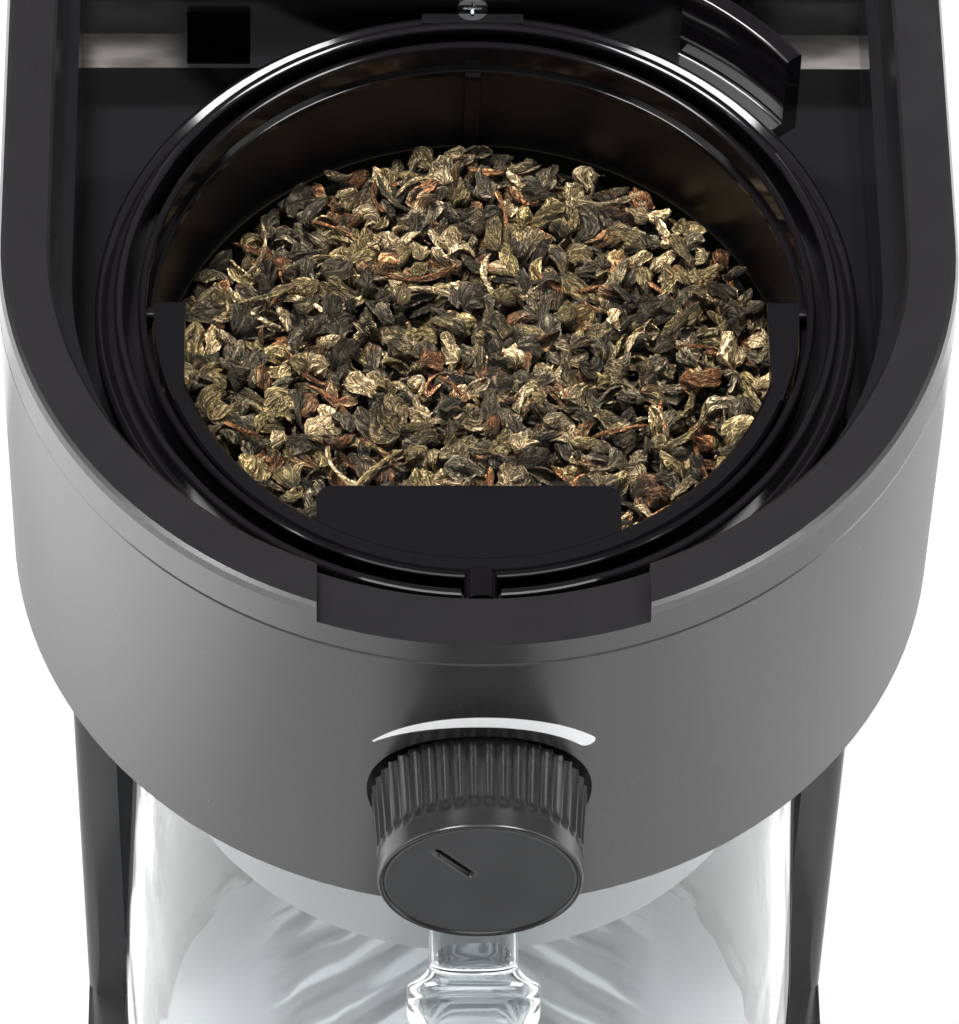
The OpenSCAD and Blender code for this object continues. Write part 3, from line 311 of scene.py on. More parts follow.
def rim_finish():
    """Grained black rim: dull on its flat top, with more sheen on its upright band."""
    sh = Shader("rim_black")
    bsdf = sh.principled(IOR=1.9)
    sh.clouded(bsdf, (0.0068, 0.006, 0.007), (0.0078, 0.0068, 0.0078), 25 * MM)
    surface = sh.node("ShaderNodeNewGeometry")
    upward = sh.axes(surface.outputs["True Normal"])["Z"]
    sheen = sh.spread(upward, BAND_UP, TOP_UP, BAND_SHEEN, TOP_SHEEN)
    sh.link(sheen, bsdf.inputs["Specular IOR Level"])
    sh.gloss(bsdf, 0.27, 0.31)
    sh.bump(bsdf, sh.noise(0.5 * MM), 0.003 * MM)
    return sh.material


# How far the filter's plain wall lies under the rim's top, and how rough the wall and the ledge are
WALL_DROP = 27 * MM
WALL_ROUGH, LEDGE_ROUGH = 0.36, 0.1


def basket_finish():
    """Black filter: glossy on its rim and ledge, and dull on the wall under them."""
    sh = Shader("basket_black")
    bsdf = sh.principled(IOR=1.3)
    sh.clouded(bsdf, (0.0043, 0.0036, 0.0044), (0.0047, 0.004, 0.0048))
    wall_top = RIM_TOP - WALL_DROP
    rough = sh.fade(sh.axes()["Z"], wall_top - 1 * MM, wall_top, WALL_ROUGH, LEDGE_ROUGH)
    sh.link(rough, bsdf.inputs["Roughness"])
    sh.bump(bsdf, sh.noise(1.2 * MM), 0.0015 * MM)
    return sh.material


# How far the well's ledge lies under the rim's top
LEDGE_DROP = 30 * MM
LEDGE_TOLERANCE = 0.2 * MM
# Half widths between which the dust in its corners starts
DUST_FROM, DUST_FULL = 55 * MM, 63 * MM
CLEAN_WELL, DUSTY_WELL = (0.006, 0.0055, 0.0065), (0.2, 0.188, 0.175)


def dusty_black():
    """Black moulding whose ledge has a pale film of dust."""
    sh = Shader("well_black")
    bsdf = sh.principled(IOR=1.45)
    x, _, z = sh.axes()
    on_ledge = sh.node("ShaderNodeMath", operation="COMPARE")
    sh.link(z, on_ledge.inputs[0])
    on_ledge.inputs[1].default_value = RIM_TOP - LEDGE_DROP
    on_ledge.inputs[2].default_value = LEDGE_TOLERANCE
    corner = sh.fade(sh.calc("ABSOLUTE", x), DUST_FROM, DUST_FULL, 0.0, 1.0)
    settled = sh.calc("MULTIPLY", on_ledge.outputs[0], corner)
    smears = sh.between(sh.noise(6 * MM, detail=5, stretch=(0.35, 1, 1)), 0.15, 1.0)
    film = sh.calc("MULTIPLY", settled, smears)
    sh.link(sh.ramp(film, [(0.0, CLEAN_WELL), (1.0, DUSTY_WELL)]), bsdf.inputs["Base Color"])
    sh.gloss(bsdf, 0.1, 0.16, 12 * MM)
    sh.bump(bsdf, sh.noise(1.2 * MM), 0.003 * MM)
    return sh.material


# Dry leaf: half the noise between two wrinkles, their depth, and the tones from a wrinkle to its ridge, which
# paint shade into the wrinkle's fold
WRINKLE_HALF = 0.08
WRINKLE_DEPTH = 0.28 * MM
WRINKLE_SHADE_TONES = [(0.0, (0.11, 0.1, 0.085)), (0.6, (0.62, 0.6, 0.56)), (0.85, (1, 1, 1))]
# From where a ridge gets paler than the leaf, a painted highlight, and by how much
HIGHLIGHT_FROM = 0.7
HIGHLIGHT_GAIN = 2.9


def leaf_finish():
    """Dry leaf: its own colour, with wrinkles along it that are darkened in their folds as painted shade and
    made paler on their ridges as painted highlight.
    """
    sh = Shader("tea_leaf")
    bsdf = sh.principled(Specular_IOR_Level=0.22)
    own = sh.node("ShaderNodeAttribute", attribute_name="leaf_colour")
    place = sh.node("ShaderNodeAttribute", attribute_name="leaf_place")
    along = sh.node("ShaderNodeMapping", Scale=(0.24, 0.52, 1))
    sh.link(place.outputs["Vector"], along.inputs["Vector"])
    wrinkle = sh.node("ShaderNodeTexNoise", Scale=1.1, Detail=4.0, Roughness=0.6, Distortion=1.3)
    sh.link(along.outputs[0], wrinkle.inputs["Vector"])
    fold = sh.calc("PINGPONG", wrinkle.outputs[0], WRINKLE_HALF)
    ridge = sh.spread(fold, 0.0, WRINKLE_HALF, 0.0, 1.0)
    # The leaf's own colour times the wrinkles' painted shade, then raised on their ridges as painted
    # highlight
    tone = sh.node("ShaderNodeMix", data_type="RGBA", blend_type="MULTIPLY")
    share, _, _, _, _, _, first, second = tone.inputs[:8]
    share.default_value = 1.0
    sh.link(own.outputs["Color"], first)
    sh.link(sh.ramp(ridge, WRINKLE_SHADE_TONES), second)
    bright = sh.node("ShaderNodeVectorMath", operation="SCALE")
    sh.link(tone.outputs[2], bright.inputs[0])
    sh.link(sh.spread(ridge, HIGHLIGHT_FROM, 1.0, 1.0, HIGHLIGHT_GAIN), bright.inputs["Scale"])
    sh.link(bright.outputs[0], bsdf.inputs["Base Color"])
    sh.link(sh.between(wrinkle.outputs[0], 0.36, 0.56), bsdf.inputs["Roughness"])
    sh.bump(bsdf, ridge, WRINKLE_DEPTH)
    return sh.material


# Moulded finishes: colour, roughness, size and depth of the grain in millimetres, and what else differs
MOULDED = {
    "head_grey": ((0.006, 0.0058, 0.0062), 0.27, 0.5, 0.0012, {"spread": 0.006, "IOR": 2.1}),
    "gloss_black": ((0.005, 0.0042, 0.0052), 0.085, 1.2, 0.0015, {"IOR": 1.47}),
    "dark_shell": ((0.024, 0.024, 0.0255), 0.16, 0.8, 0.003, {"IOR": 1.55}),
    "inner_black": ((0.008, 0.008, 0.0085), 0.4, 0.4, 0.02, {}),
    "foot_rubber": ((0.015, 0.015, 0.015), 0.75, 0.5, 0.03, {}),
    "knob_face": ((0.045, 0.046, 0.048), 0.4, 0.5, 0.02, {"vary": 0.12}),
    "knob_grey": ((0.011, 0.011, 0.0118), 0.24, 0.3, 0.008, {"IOR": 1.5}),
    "bail_black": ((0.0035, 0.003, 0.0037), 0.2, 0.3, 0.006, {"IOR": 1.42}),
    "tank_smoke": ((0.05, 0.055, 0.06), 0.15, 1.5, 0.003, {}),
    "white_plastic": ((0.93, 0.94, 0.95), 0.3, 0.5, 0.005, {"vary": 0.02}),
    "silicone": ((0.56, 0.57, 0.54), 0.5, 0.6, 0.01, {"vary": 0.06}),
    "lid_grey": ((0.12, 0.124, 0.128), 0.35, 0.6, 0.004, {}),
}

FINISH = {
    "rim_black": rim_finish(),
    "basket_black": basket_finish(),
    "steel_plate": painted_sheen_plate(),
    "well_black": dusty_black(),
    "screw_steel": metal("screw_steel", (0.66, 0.67, 0.68), 0.25, (0.1, 0.1, 1), 0.004 * MM),
    "mesh_steel": metal("mesh_steel", (0.022, 0.02, 0.017), 0.45, (1, 1, 1), 0.05 * MM),
    "heater_aluminium": metal("heater_aluminium", (0.68, 0.69, 0.7), 0.4, (1, 0.1, 1), 0.004 * MM),
    "jug_glass": clear_glass("jug_glass", (0.915, 0.927, 0.933)),
    # The strap is the jug's clear glass tinted far darker: a painted shade for its dark edges
    "strap_glass": clear_glass("strap_glass", (0.6, 0.62, 0.625)),
    "tea": leaf_finish(),
}
for name, (colour, roughness, grain, depth, more) in MOULDED.items():
    FINISH[name] = moulded(name, colour, roughness, grain * MM, depth * MM, **more)

SLOT_OF = {part["node"]: part["material_slot"] for part in frame["record"]["subparts"]}
# Nodes whose finish isn't the plain one of their slot
OWN_FINISH = {"brew_well": "well_black", "filter_frame": "basket_black"}


def dress_nodes():
    """Gives every node its own finish or that of its material slot."""
    for name, obj in NODES.items():
        obj.data.materials.clear()
        obj.data.materials.append(FINISH[OWN_FINISH.get(name, SLOT_OF[name])])


def mesh_piece(name, points, faces, finish, body, replaced=(), sharp=35):
    """Makes a piece from points and faces, which rides on a body and may stand for nodes."""
    mesh = bpy.data.meshes.new(name)
    mesh.from_pydata([tuple(p) for p in points], [], faces)
    mesh.update()
    mesh.shade_smooth()
    mesh.set_sharp_from_angle(angle=math.radians(sharp))
    obj = bpy.data.objects.new(name, mesh)
    bpy.context.scene.collection.objects.link(obj)
    mesh.materials.append(finish)
    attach(obj, body)
    if replaced:
        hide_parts(*replaced)
    return obj


def tube_faces(rows, cols):
    """Faces of a closed tube of rings, with one face at each end, last of all."""
    faces = [(i * cols + j, i * cols + (j + 1) % cols, (i + 1) * cols + (j + 1) % cols, (i + 1) * cols + j)
             for i in range(rows - 1) for j in range(cols)]
    return faces + [tuple(reversed(range(cols))), tuple((rows - 1) * cols + j for j in range(cols))]


def sheet_faces(rows, cols):
    """Faces of a closed thin sheet: its two sides and the edge between them."""
    one = rows * cols
    top = [(i * cols + j, i * cols + j + 1, (i + 1) * cols + j + 1, (i + 1) * cols + j)
           for i in range(rows - 1) for j in range(cols - 1)]
    under = [tuple(one + k for k in reversed(face)) for face in top]
    loop = list(range(cols))
    loop += [i * cols + cols - 1 for i in range(1, rows)]
    loop += [(rows - 1) * cols + j for j in range(cols - 2, -1, -1)]
    loop += [i * cols for i in range(rows - 2, 0, -1)]
    return top + under + [(b, a, one + a, one + b) for a, b in zip(loop, loop[1:] + loop[:1])]


def smooth_step(low, high, value):
    """A smooth rise from 0 to 1 between two values."""
    share = np.clip((value - low) / (high - low), 0, 1)
    return share * share * (3 - 2 * share)


# Tea: points along and across each kind of leaf
ROLL_ROWS, ROLL_COLS = 10, 16
FLAP_ROWS, FLAP_COLS = 9, 7
STALK_ROWS, STALK_COLS = 12, 6
# Least and most half length and half width of each kind, in millimetres
ROLL_HALF, ROLL_WIDE = (2.1, 4.7), (1.3, 2.8)
FLAP_HALF, FLAP_WIDE = (2.4, 4.6), (1.6, 2.9)
STALK_HALF, STALK_THICK = (3.5, 8.5), (0.36, 0.66)
FLAP_SKIN = 0.14 * MM
# Most curl of each kind from its middle to its end, and the least curl of all
ROLL_CURL, FLAP_CURL, STALK_CURL = 1.1, 0.8, 0.9
LEAST_CURL = 0.1
# Span of the shifts that give each leaf wrinkles of its own
PLACE_SPAN = 400
# Random draws of the heap, its stalks, the share of open flaps and the tilt of a leaf and of a stalk
TEA_SEED = 7
STALKS = 70
FLAP_SHARE = 0.4
LEAF_TILT, STALK_TILT = 0.45, 0.22
# Layers of the heap: how deep it lies and how far apart its leaves are
TEA_LAYERS = ((0.2 * MM, 3.9 * MM), (2.6 * MM, 5.0 * MM))
LAYER_JITTER = 0.22
STALK_RISE = 1.6 * MM
LEAF_SINK, LEAF_JITTER = 1.0 * MM, 1.1
# How far the heap's edge lies under the top of its solid, how it swells, and its lumps
HEAP_DROP = 4.4 * MM
HEAP_SWELL = 4 * MM
HEAP_LUMP = 0.9 * MM
# Room that leaves keep to the filter's wall: at their middles, at the middles of stalks, and at their ends
LEAF_ROOM, STALK_ROOM, END_ROOM = 2.4 * MM, 8 * MM, 0.5 * MM
# Share of the leaves, colour in the folds and colour on the ridges; the last two are those of most stalks.
# The colour in the folds is the leaf's tone darkened as painted shade, that on the ridges made paler as
# painted highlight
LEAF_TONES = [
    (0.48, (0.016, 0.0135, 0.009), (0.150, 0.122, 0.078)),
    (0.28, (0.064, 0.047, 0.019), (0.430, 0.320, 0.150)),
    (0.16, (0.200, 0.138, 0.062), (0.720, 0.560, 0.340)),
    (0.08, (0.075, 0.032, 0.014), (0.400, 0.185, 0.080)),
]
STALK_TONED = 0.6
# Middle and spread of the logarithm of a leaf's brightness
LEAF_BRIGHT, LEAF_SPREAD = 0.17, 0.42


def bent(rng, points, half, most):
    """Curls a leaf about an upright axis, and bends it a little the other way."""
    turn = rng.uniform(-most, most)
    if abs(turn) < LEAST_CURL:
        turn = LEAST_CURL
    u = points[..., 0] / half
    radius = half / turn
    across = radius - points[..., 1]
    curled = np.stack([across * np.sin(u * turn), radius - across * np.cos(u * turn), points[..., 2]], -1)
    curled[..., 2] += rng.uniform(-0.3, 0.3) * half * u ** 2
    return curled


def leaf_place(rng, u, along, v, across):
    """Places on a leaf, in millimetres, with a shift of its own."""
    return np.stack([u * along / MM, v * across / MM, np.full_like(u, rng.uniform(0, PLACE_SPAN))], -1)


def rolled_leaf(rng):
    """A leaf rolled tight: a closed tube with sharp folds along it; also its ridges and places on it."""
    ends = np.linspace(-1, 1, ROLL_ROWS)
    u, v = np.meshgrid(ends, np.linspace(0, 2 * np.pi, ROLL_COLS, endpoint=False), indexing="ij")
    half = rng.uniform(*ROLL_HALF) * MM
    wide = rng.uniform(*ROLL_WIDE) * MM
    knots = rng.uniform(0, 1, (4, ROLL_COLS))
    fold = np.stack([np.interp(ends, np.linspace(-1, 1, 4), knots[:, j]) for j in range(ROLL_COLS)], 1)
    fold += 0.25 * (rng.uniform(0, 1, u.shape) - 0.5)
    lobes = 1 + 0.22 * np.cos(2 * v + rng.uniform(0, 6)) + 0.16 * np.cos(3 * v + rng.uniform(0, 6))
    lumps = 1 + 0.22 * np.sin(rng.uniform(2, 5) * u + rng.uniform(0, 6))
    body = np.clip(1 - np.abs(u) ** rng.uniform(2.0, 4.5), 0.03, 1) ** 0.6
    radius = wide * body * lobes * lumps * (0.5 + 0.75 * fold)
    angle = v + rng.uniform(-1.2, 1.2) * u
    flat = rng.uniform(0.7, 1.0)
    points = np.stack([u * half, radius * np.cos(angle), radius * np.sin(angle) * flat], -1)
    place = leaf_place(rng, u, half, v, wide)
    # Columns that stand out from their neighbours are ridges, later painted pale as highlight; sunk ones get
    # the folds' painted shade
    near = (np.roll(fold, 1, 1) + np.roll(fold, -1, 1)) / 2
    ridge = np.clip(0.35 + 0.75 * (fold - near) + 0.25 * fold, 0, 1)
    return bent(rng, points, half, ROLL_CURL).reshape(-1, 3), ridge.ravel(), place.reshape(-1, 3)


def open_leaf(rng):
    """A curled flap of leaf with a wavy edge; also its ridges and places on it."""
    u, v = np.meshgrid(np.linspace(-1, 1, FLAP_ROWS), np.linspace(-1, 1, FLAP_COLS), indexing="ij")
    half = rng.uniform(*FLAP_HALF) * MM
    width = rng.uniform(*FLAP_WIDE) * MM * np.clip(1 - np.abs(u) ** 2.2, 0.04, 1) ** 0.6
    roll = rng.uniform(1.6, 4.4)
    angle = v * roll / 2 + rng.uniform(-0.9, 0.9) * u
    radius = width * 2 / roll * (1 + rng.uniform(-0.3, 0.3) * v)
    wave = np.zeros_like(u)
    for _ in range(3):
        wave += np.abs(np.sin(rng.uniform(1, 5) * u + rng.uniform(2, 6) * v + rng.uniform(0, 6))) - 0.6
    wave *= 0.28
    out = np.stack([np.zeros_like(u), np.sin(angle), np.cos(angle)], -1)
    sheet = np.stack([u * half, radius * np.sin(angle), radius * np.cos(angle)], -1)
    sheet = bent(rng, sheet + out * (wave * MM)[..., None], half, FLAP_CURL)
    both = np.concatenate([sheet + out * FLAP_SKIN, sheet - out * FLAP_SKIN]).reshape(-1, 3)
    # Wave crests and the flap's edges are ridges, later painted pale as highlight; the hollows get the folds'
    # painted shade
    ridge = np.clip(0.45 + 0.8 * wave + 0.35 * np.abs(v) ** 3, 0, 1).ravel()
    place = leaf_place(rng, u, half, v, width * 1.6).reshape(-1, 3)
    return both, np.tile(ridge, 2), np.tile(place, (2, 1))


def stalk(rng):
    """A thin bent stalk; also its ridges and places on it."""
    turns = np.linspace(0, 2 * np.pi, STALK_COLS, endpoint=False)
    u, v = np.meshgrid(np.linspace(-1, 1, STALK_ROWS), turns, indexing="ij")
    half = rng.uniform(*STALK_HALF) * MM
    thick = rng.uniform(*STALK_THICK) * MM
    radius = thick * np.clip(1.15 - np.abs(u) ** 6, 0.2, 1) * (1 + 0.22 * np.sin(5 * u + 2 * v))
    points = np.stack([u * half, radius * np.cos(v), radius * np.sin(v)], -1)
    ridge = 0.5 + 0.4 * np.sin(2 * v + 4 * u)
    place = leaf_place(rng, u, half, v, thick)
    return bent(rng, points, half, STALK_CURL).reshape(-1, 3), ridge.ravel(), place.reshape(-1, 3)


def turned(rng, tilt):
    """A random turn about the vertical, with some tilt."""
    spin = rng.uniform(0, 2 * math.pi)
    lean = rng.normal(0, tilt)
    way = rng.uniform(0, 2 * math.pi)
    axis = Vector((math.cos(way), math.sin(way), 0))
    both = Matrix.Rotation(lean, 3, axis) @ Matrix.Rotation(spin, 3, "Z")
    return np.array(both @ Matrix.Rotation(rng.uniform(0, 2 * math.pi), 3, "X"))


def heap_height(x, y):
    """Height of the heap's surface, which swells towards the middle and has slow lumps."""
    swell = np.sin(np.pi / 2 * np.clip(1 - np.hypot(x, y) / TEA_R, 0, 1))
    lumps = np.sin(x / (9 * MM) + 1) * np.cos(y / (11 * MM)) + np.sin((x - y) / (17 * MM))
    return TEA_HIGH.z - HEAP_DROP + swell * HEAP_SWELL + lumps * HEAP_LUMP


def heap_places(rng):
    """Places of the leaves: a close top layer and a looser one under it, each with its drop."""
    reach = TEA_R - LEAF_ROOM
    places = []
    for drop, step in TEA_LAYERS:
        count = int(2 * reach / step) + 2
        for i in range(count):
            for j in range(count):
                x = -reach + step * (i + 0.5 * (j % 2)) + rng.normal(0, LAYER_JITTER) * step
                y = -reach + step * j + rng.normal(0, LAYER_JITTER) * step
                if math.hypot(x, y) < reach:
                    places.append((x, y, drop))
    return places


def heap_jobs(rng):
    """Each leaf of the heap: its kind, its place and its drop; the stalks lie on top."""
    jobs = [("flap" if rng.uniform() < FLAP_SHARE else "roll", *place) for place in heap_places(rng)]
    for _ in range(STALKS):
        r = (TEA_R - STALK_ROOM) * math.sqrt(rng.uniform())
        a = rng.uniform(0, 2 * math.pi)
        jobs.append(("stalk", r * math.cos(a), r * math.sin(a), -STALK_RISE))
    return jobs


def leaf_colours(rng, kind, ridge, place):
    """Colour of each point of a leaf: two tones that drift along it, each darkened in its folds as painted
    shade and paler on its ridges as painted highlight.
    """
    first, second = rng.choice(len(LEAF_TONES), 2, p=[tone[0] for tone in LEAF_TONES])
    if kind == "stalk" and rng.uniform() < STALK_TONED:
        first = second = 2 + int(rng.uniform() < STALK_TONED)
    drift = 0.3 + 0.35 * np.sin(0.9 * place[:, 0] + place[:, 2]) + rng.uniform(-0.5, 0.3)
    blend = np.clip(drift, 0, 1)[:, None]
    # How far each point goes from the folds' painted shade to the ridges' painted highlight
    share = (ridge ** 1.4)[:, None]
    deep = np.array(LEAF_TONES[first][1]) * (1 - blend) + np.array(LEAF_TONES[second][1]) * blend
    high = np.array(LEAF_TONES[first][2]) * (1 - blend) + np.array(LEAF_TONES[second][2]) * blend
    return (deep * (1 - share) + high * share) * math.exp(rng.normal(LEAF_BRIGHT, LEAF_SPREAD))


def inside_filter(points):
    """Draws in the points that would reach through the filter's wall."""
    middle = np.array([0, AXIS_Y, 0])
    flat = points - middle
    far = np.hypot(flat[:, 0], flat[:, 1])
    flat[:, :2] *= np.minimum(1, (TEA_R - END_ROOM) / np.maximum(far, 1e-9))[:, None]
    return flat + middle


def make_tea():
    """The heap of leaves, whose colours and own places are kept for the finish."""
    rng = np.random.default_rng(TEA_SEED)
    kinds = {"roll": (rolled_leaf, tube_faces(ROLL_ROWS, ROLL_COLS), LEAF_TILT),
             "flap": (open_leaf, sheet_faces(FLAP_ROWS, FLAP_COLS), LEAF_TILT),
             "stalk": (stalk, tube_faces(STALK_ROWS, STALK_COLS), STALK_TILT)}
    points, faces, colours, places = [], [], [], []
    count = 0
    for kind, x, y, drop in heap_jobs(rng):
        make, pattern, tilt = kinds[kind]
        own, ridge, place = make(rng)
        turn = turned(rng, tilt)
        z = heap_height(x, y) - drop + rng.normal(0, LEAF_JITTER) * MM - LEAF_SINK
        points.append(own @ turn.T + np.array([x, AXIS_Y + y, z]))
        faces += [tuple(k + count for k in face) for face in pattern]
        count += len(own)
        colours.append(leaf_colours(rng, kind, ridge, place))
        places.append(place)
    points = inside_filter(np.concatenate(points))
    pile = mesh_piece("tea_pile", points, faces, FINISH["tea"], "filter", ["tea_leaves"], sharp=50)
    keep_leaf_data(pile, np.concatenate(colours), np.concatenate(places))


def keep_leaf_data(piece, colours, places):
    """Keeps each point's colour and its place on its leaf, in millimetres."""
    layer = piece.data.attributes.new("leaf_colour", "FLOAT_COLOR", "POINT")
    layer.data.foreach_set("color", np.concatenate([colours, np.ones((len(colours), 1))], 1).ravel())
    layer = piece.data.attributes.new("leaf_place", "FLOAT_VECTOR", "POINT")
    layer.data.foreach_set("vector", np.asarray(places, dtype=float).ravel())


# Bed of the tea: its rings and steps, its depth under the heap's surface, its colour, a near black painted
# shade for the gaps between the leaves
BED_RINGS, BED_STEPS = 24, 96
BED_DEPTH = 5.2 * MM
BED_ROOM = 0.3 * MM
BED_FLOOR = 0.2 * MM
# Size of the face in the middle of its top, in rings
BED_MIDDLE = 0.05
BED_SHADE_COLOUR = (0.006, 0.006, 0.004)


def make_bed():
    """Closed bed under the loose leaves, as wide as the filter: a flat floor, a wall and the heap's top."""
    turn = np.linspace(0, 2 * np.pi, BED_STEPS, endpoint=False)
    shares = np.maximum(np.arange(BED_RINGS, -1, -1), BED_MIDDLE) / BED_RINGS
    r = (TEA_R - BED_ROOM) * np.concatenate([[1], shares])
    x, y = np.outer(r, np.cos(turn)), np.outer(r, np.sin(turn))
    z = heap_height(x, y) - BED_DEPTH
    z[0] = TEA_LOW.z + BED_FLOOR
    points = np.stack([x, AXIS_Y + y, z], -1).reshape(-1, 3)
    faces = tube_faces(len(r), BED_STEPS)
    bed = mesh_piece("tea_bed", points, faces, FINISH["tea"], "filter", ["tea_leaves"])
    # The bed gets the near black colour: painted shade seen in the gaps between the leaves
    keep_leaf_data(bed, np.tile(BED_SHADE_COLOUR, (len(points), 1)), points / MM)


# Strength knob: t runs along its axis, from the face to the back
KNOB_FACE_R = 19.1 * MM
KNOB_BACK_R = 20.3 * MM
KNOB_BORE_R = 16.12 * MM
KNOB_FRONT_T = 2.48 * MM
KNOB_FLUTES = 44
FLUTE_STEPS = 8
FLUTE_DEPTH = 0.75 * MM
# Plain band at the front of the side, and the length over which the flutes fade
PLAIN_BAND = 4.2 * MM
FLUTE_FADE = 3.0 * MM
# Face: its rings, the width of the rim round it, its depth, and the hole in its middle
FACE_RINGS = 62
FACE_RIM = 1.5 * MM
FACE_T = 0.35 * MM
FACE_MIDDLE = 0.25 * MM
# Groove round the face: how far out from the face and how deep, in millimetres
FACE_GROOVE = ((0.25, 0.5), (0.4, 0.5), (0.6, 0.15), (0.75, 0.03))
EDGE_ROUND, EDGE_STEPS = 0.65 * MM, 6
SIDE_FROM, SIDE_RINGS = 1.4 * MM, 34
# Pointer: its turn at rest, its ends, half its width, its depth and the lip round it
KNOB_REST = math.radians(39.6)
POINTER_NEAR, POINTER_FAR = 2.9 * MM, 12.9 * MM
POINTER_HALF = 0.85 * MM
POINTER_DEPTH = 0.7 * MM
POINTER_SLOPE = 0.2 * MM
LIP_RISE, LIP_OUT = 0.08 * MM, 0.35 * MM


def knob_profile():
    """Outline from the middle of the face, round the edge and along the side, to the bore and its end."""
    depth = KNOB_HIGH.y - KNOB_LOW.y
    rim = KNOB_FACE_R - FACE_RIM
    outline = [(r, FACE_T) for r in np.linspace(FACE_MIDDLE, rim, FACE_RINGS)]
    outline += [(rim + out * MM, deep * MM) for out, deep in FACE_GROOVE]
    for k in range(EDGE_STEPS + 1):
        a = math.pi / 2 * k / EDGE_STEPS
        outline.append((KNOB_FACE_R - EDGE_ROUND * (1 - math.sin(a)), EDGE_ROUND * (1 - math.cos(a))))
    for t in np.linspace(SIDE_FROM, depth, SIDE_RINGS):
        outline.append((KNOB_FACE_R + (KNOB_BACK_R - KNOB_FACE_R) * (t / depth) ** 1.5, t))
    outline += [(KNOB_BORE_R, depth), (KNOB_BORE_R, KNOB_FRONT_T), (FACE_MIDDLE, KNOB_FRONT_T)]
    return np.array(outline)


def pointer_relief(x, z):
    """How far the pointer is sunk at places of the face, and how far the lip round it rises."""
    along = z * math.cos(KNOB_REST) - x * math.sin(KNOB_REST)
    across = x * math.cos(KNOB_REST) + z * math.sin(KNOB_REST)
    beyond = np.maximum(np.maximum(POINTER_NEAR - along, along - POINTER_FAR), 0)
    away = np.hypot(across, beyond)
    sunk = POINTER_DEPTH * (1 - smooth_step(POINTER_HALF - POINTER_SLOPE, POINTER_HALF + POINTER_SLOPE, away))
    lip = LIP_RISE * np.exp(-((away - POINTER_HALF - LIP_OUT) / POINTER_SLOPE) ** 2)
    return sunk, lip


def make_knob():
    """Fluted knob with a rounded edge, a rim round its face and a sunk pointer."""
    steps = KNOB_FLUTES * FLUTE_STEPS
    outline = knob_profile()
    turn = np.linspace(0, 2 * np.pi, steps, endpoint=False)
    r = np.repeat(outline[:, :1], steps, 1)
    t = np.repeat(outline[:, 1:], steps, 1)
    fluted = smooth_step(PLAIN_BAND, PLAIN_BAND + FLUTE_FADE, t) * (r > KNOB_BORE_R + 1 * MM)
    r = r - FLUTE_DEPTH * fluted * np.abs(np.sin(KNOB_FLUTES / 2 * turn)) ** 0.9
    x, z = r * np.sin(turn), r * np.cos(turn)
    sunk, lip = pointer_relief(x, z)
    inside_rim = r < KNOB_FACE_R - FACE_RIM - 0.1 * MM
    t = t + (t < FACE_T + 0.05 * MM) * inside_rim * (sunk - lip)
    points = np.stack([x, KNOB_LOW.y + t, KNOB_Z + z], -1).reshape(-1, 3)
    faces = tube_faces(len(outline), steps)
    finish = FINISH["knob_grey"]
    cap = mesh_piece("knob_cap", points, faces, finish, "knob", ["strength_knob"], sharp=60)
    cap.data.materials.append(FINISH["knob_face"])
    cap.data.materials.append(FINISH["gloss_black"])
    deep = (sunk > 0.3 * MM).ravel()
    front_end = cap.data.polygons[len(faces) - 2]
    for polygon in [front_end, *cap.data.polygons[:FACE_RINGS * steps]]:
        polygon.material_index = 2 if all(deep[v] for v in polygon.vertices) else 1


# Jug handle: a glass strap from the neck, over a full bend and down to the foot
JUG_FOOT_ROUND = 8 * MM
NECK_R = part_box("jug_lid")[1].x
STRAP_T = 8 * MM
STRAP_NARROW, STRAP_BEND_W, STRAP_GRIP_W = 17.5 * MM, 26.2 * MM, 22.8 * MM
BEND_R = 8 * MM
KNUCKLE = 1.6 * MM
# Turns of the bend between which the strap widens, and drops between which it settles to the grip
WIDEN_FROM, WIDEN_TO = math.radians(8), math.radians(34)
SETTLE_FROM, SETTLE_TO = 5 * MM, 12 * MM
# Points round the strap, and rings on its neck, upper bend, grip, lower bend and foot
STRAP_RING = 40
NECK_RINGS, UPPER_STEPS, GRIP_RINGS, LOWER_STEPS, FOOT_RINGS = 22, 32, 40, 16, 12
# Gap that keeps the strap's ends clear of the jug's own surface
STRAP_GAP = 0.02 * MM


def jug_wall(z):
    """Outer radius of the jug at a height."""
    low = JUG_LOW.z + JUG_FOOT_ROUND
    return JUG_HIGH.x + (NECK_R - JUG_HIGH.x) * (z - low) / (JUG_HIGH.z - low)


def strap_path():
    """Middle line of the strap: distance in front of the axis, height, turn from level, share of the
    way from the jug's wall to the bend."""
    low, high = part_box("jug_handle")
    top, bottom = high.z - STRAP_T / 2, low.z + STRAP_T / 2
    front = AXIS_Y - low.y - STRAP_T / 2
    path = [(front - BEND_R, top, 0.0, share) for share in np.linspace(0, 1, NECK_RINGS)]
    for k in range(1, UPPER_STEPS + 1):
        a = math.pi / 2 * k / UPPER_STEPS
        path.append((front - BEND_R * (1 - math.sin(a)), top - BEND_R * (1 - math.cos(a)), a, 1.0))
    grip = np.linspace(top - BEND_R, bottom + BEND_R, GRIP_RINGS)[1:-1]
    path += [(front, z, math.pi / 2, 1.0) for z in grip]
    for k in range(LOWER_STEPS + 1):
        a = math.pi / 2 * k / LOWER_STEPS
        down = bottom + BEND_R * (1 - math.sin(a))
        path.append((front - BEND_R * (1 - math.cos(a)), down, math.pi / 2 + a, 1.0))
    path += [(front - BEND_R, bottom, math.pi, share) for share in np.linspace(1, 0, FOOT_RINGS)[1:]]
    return path


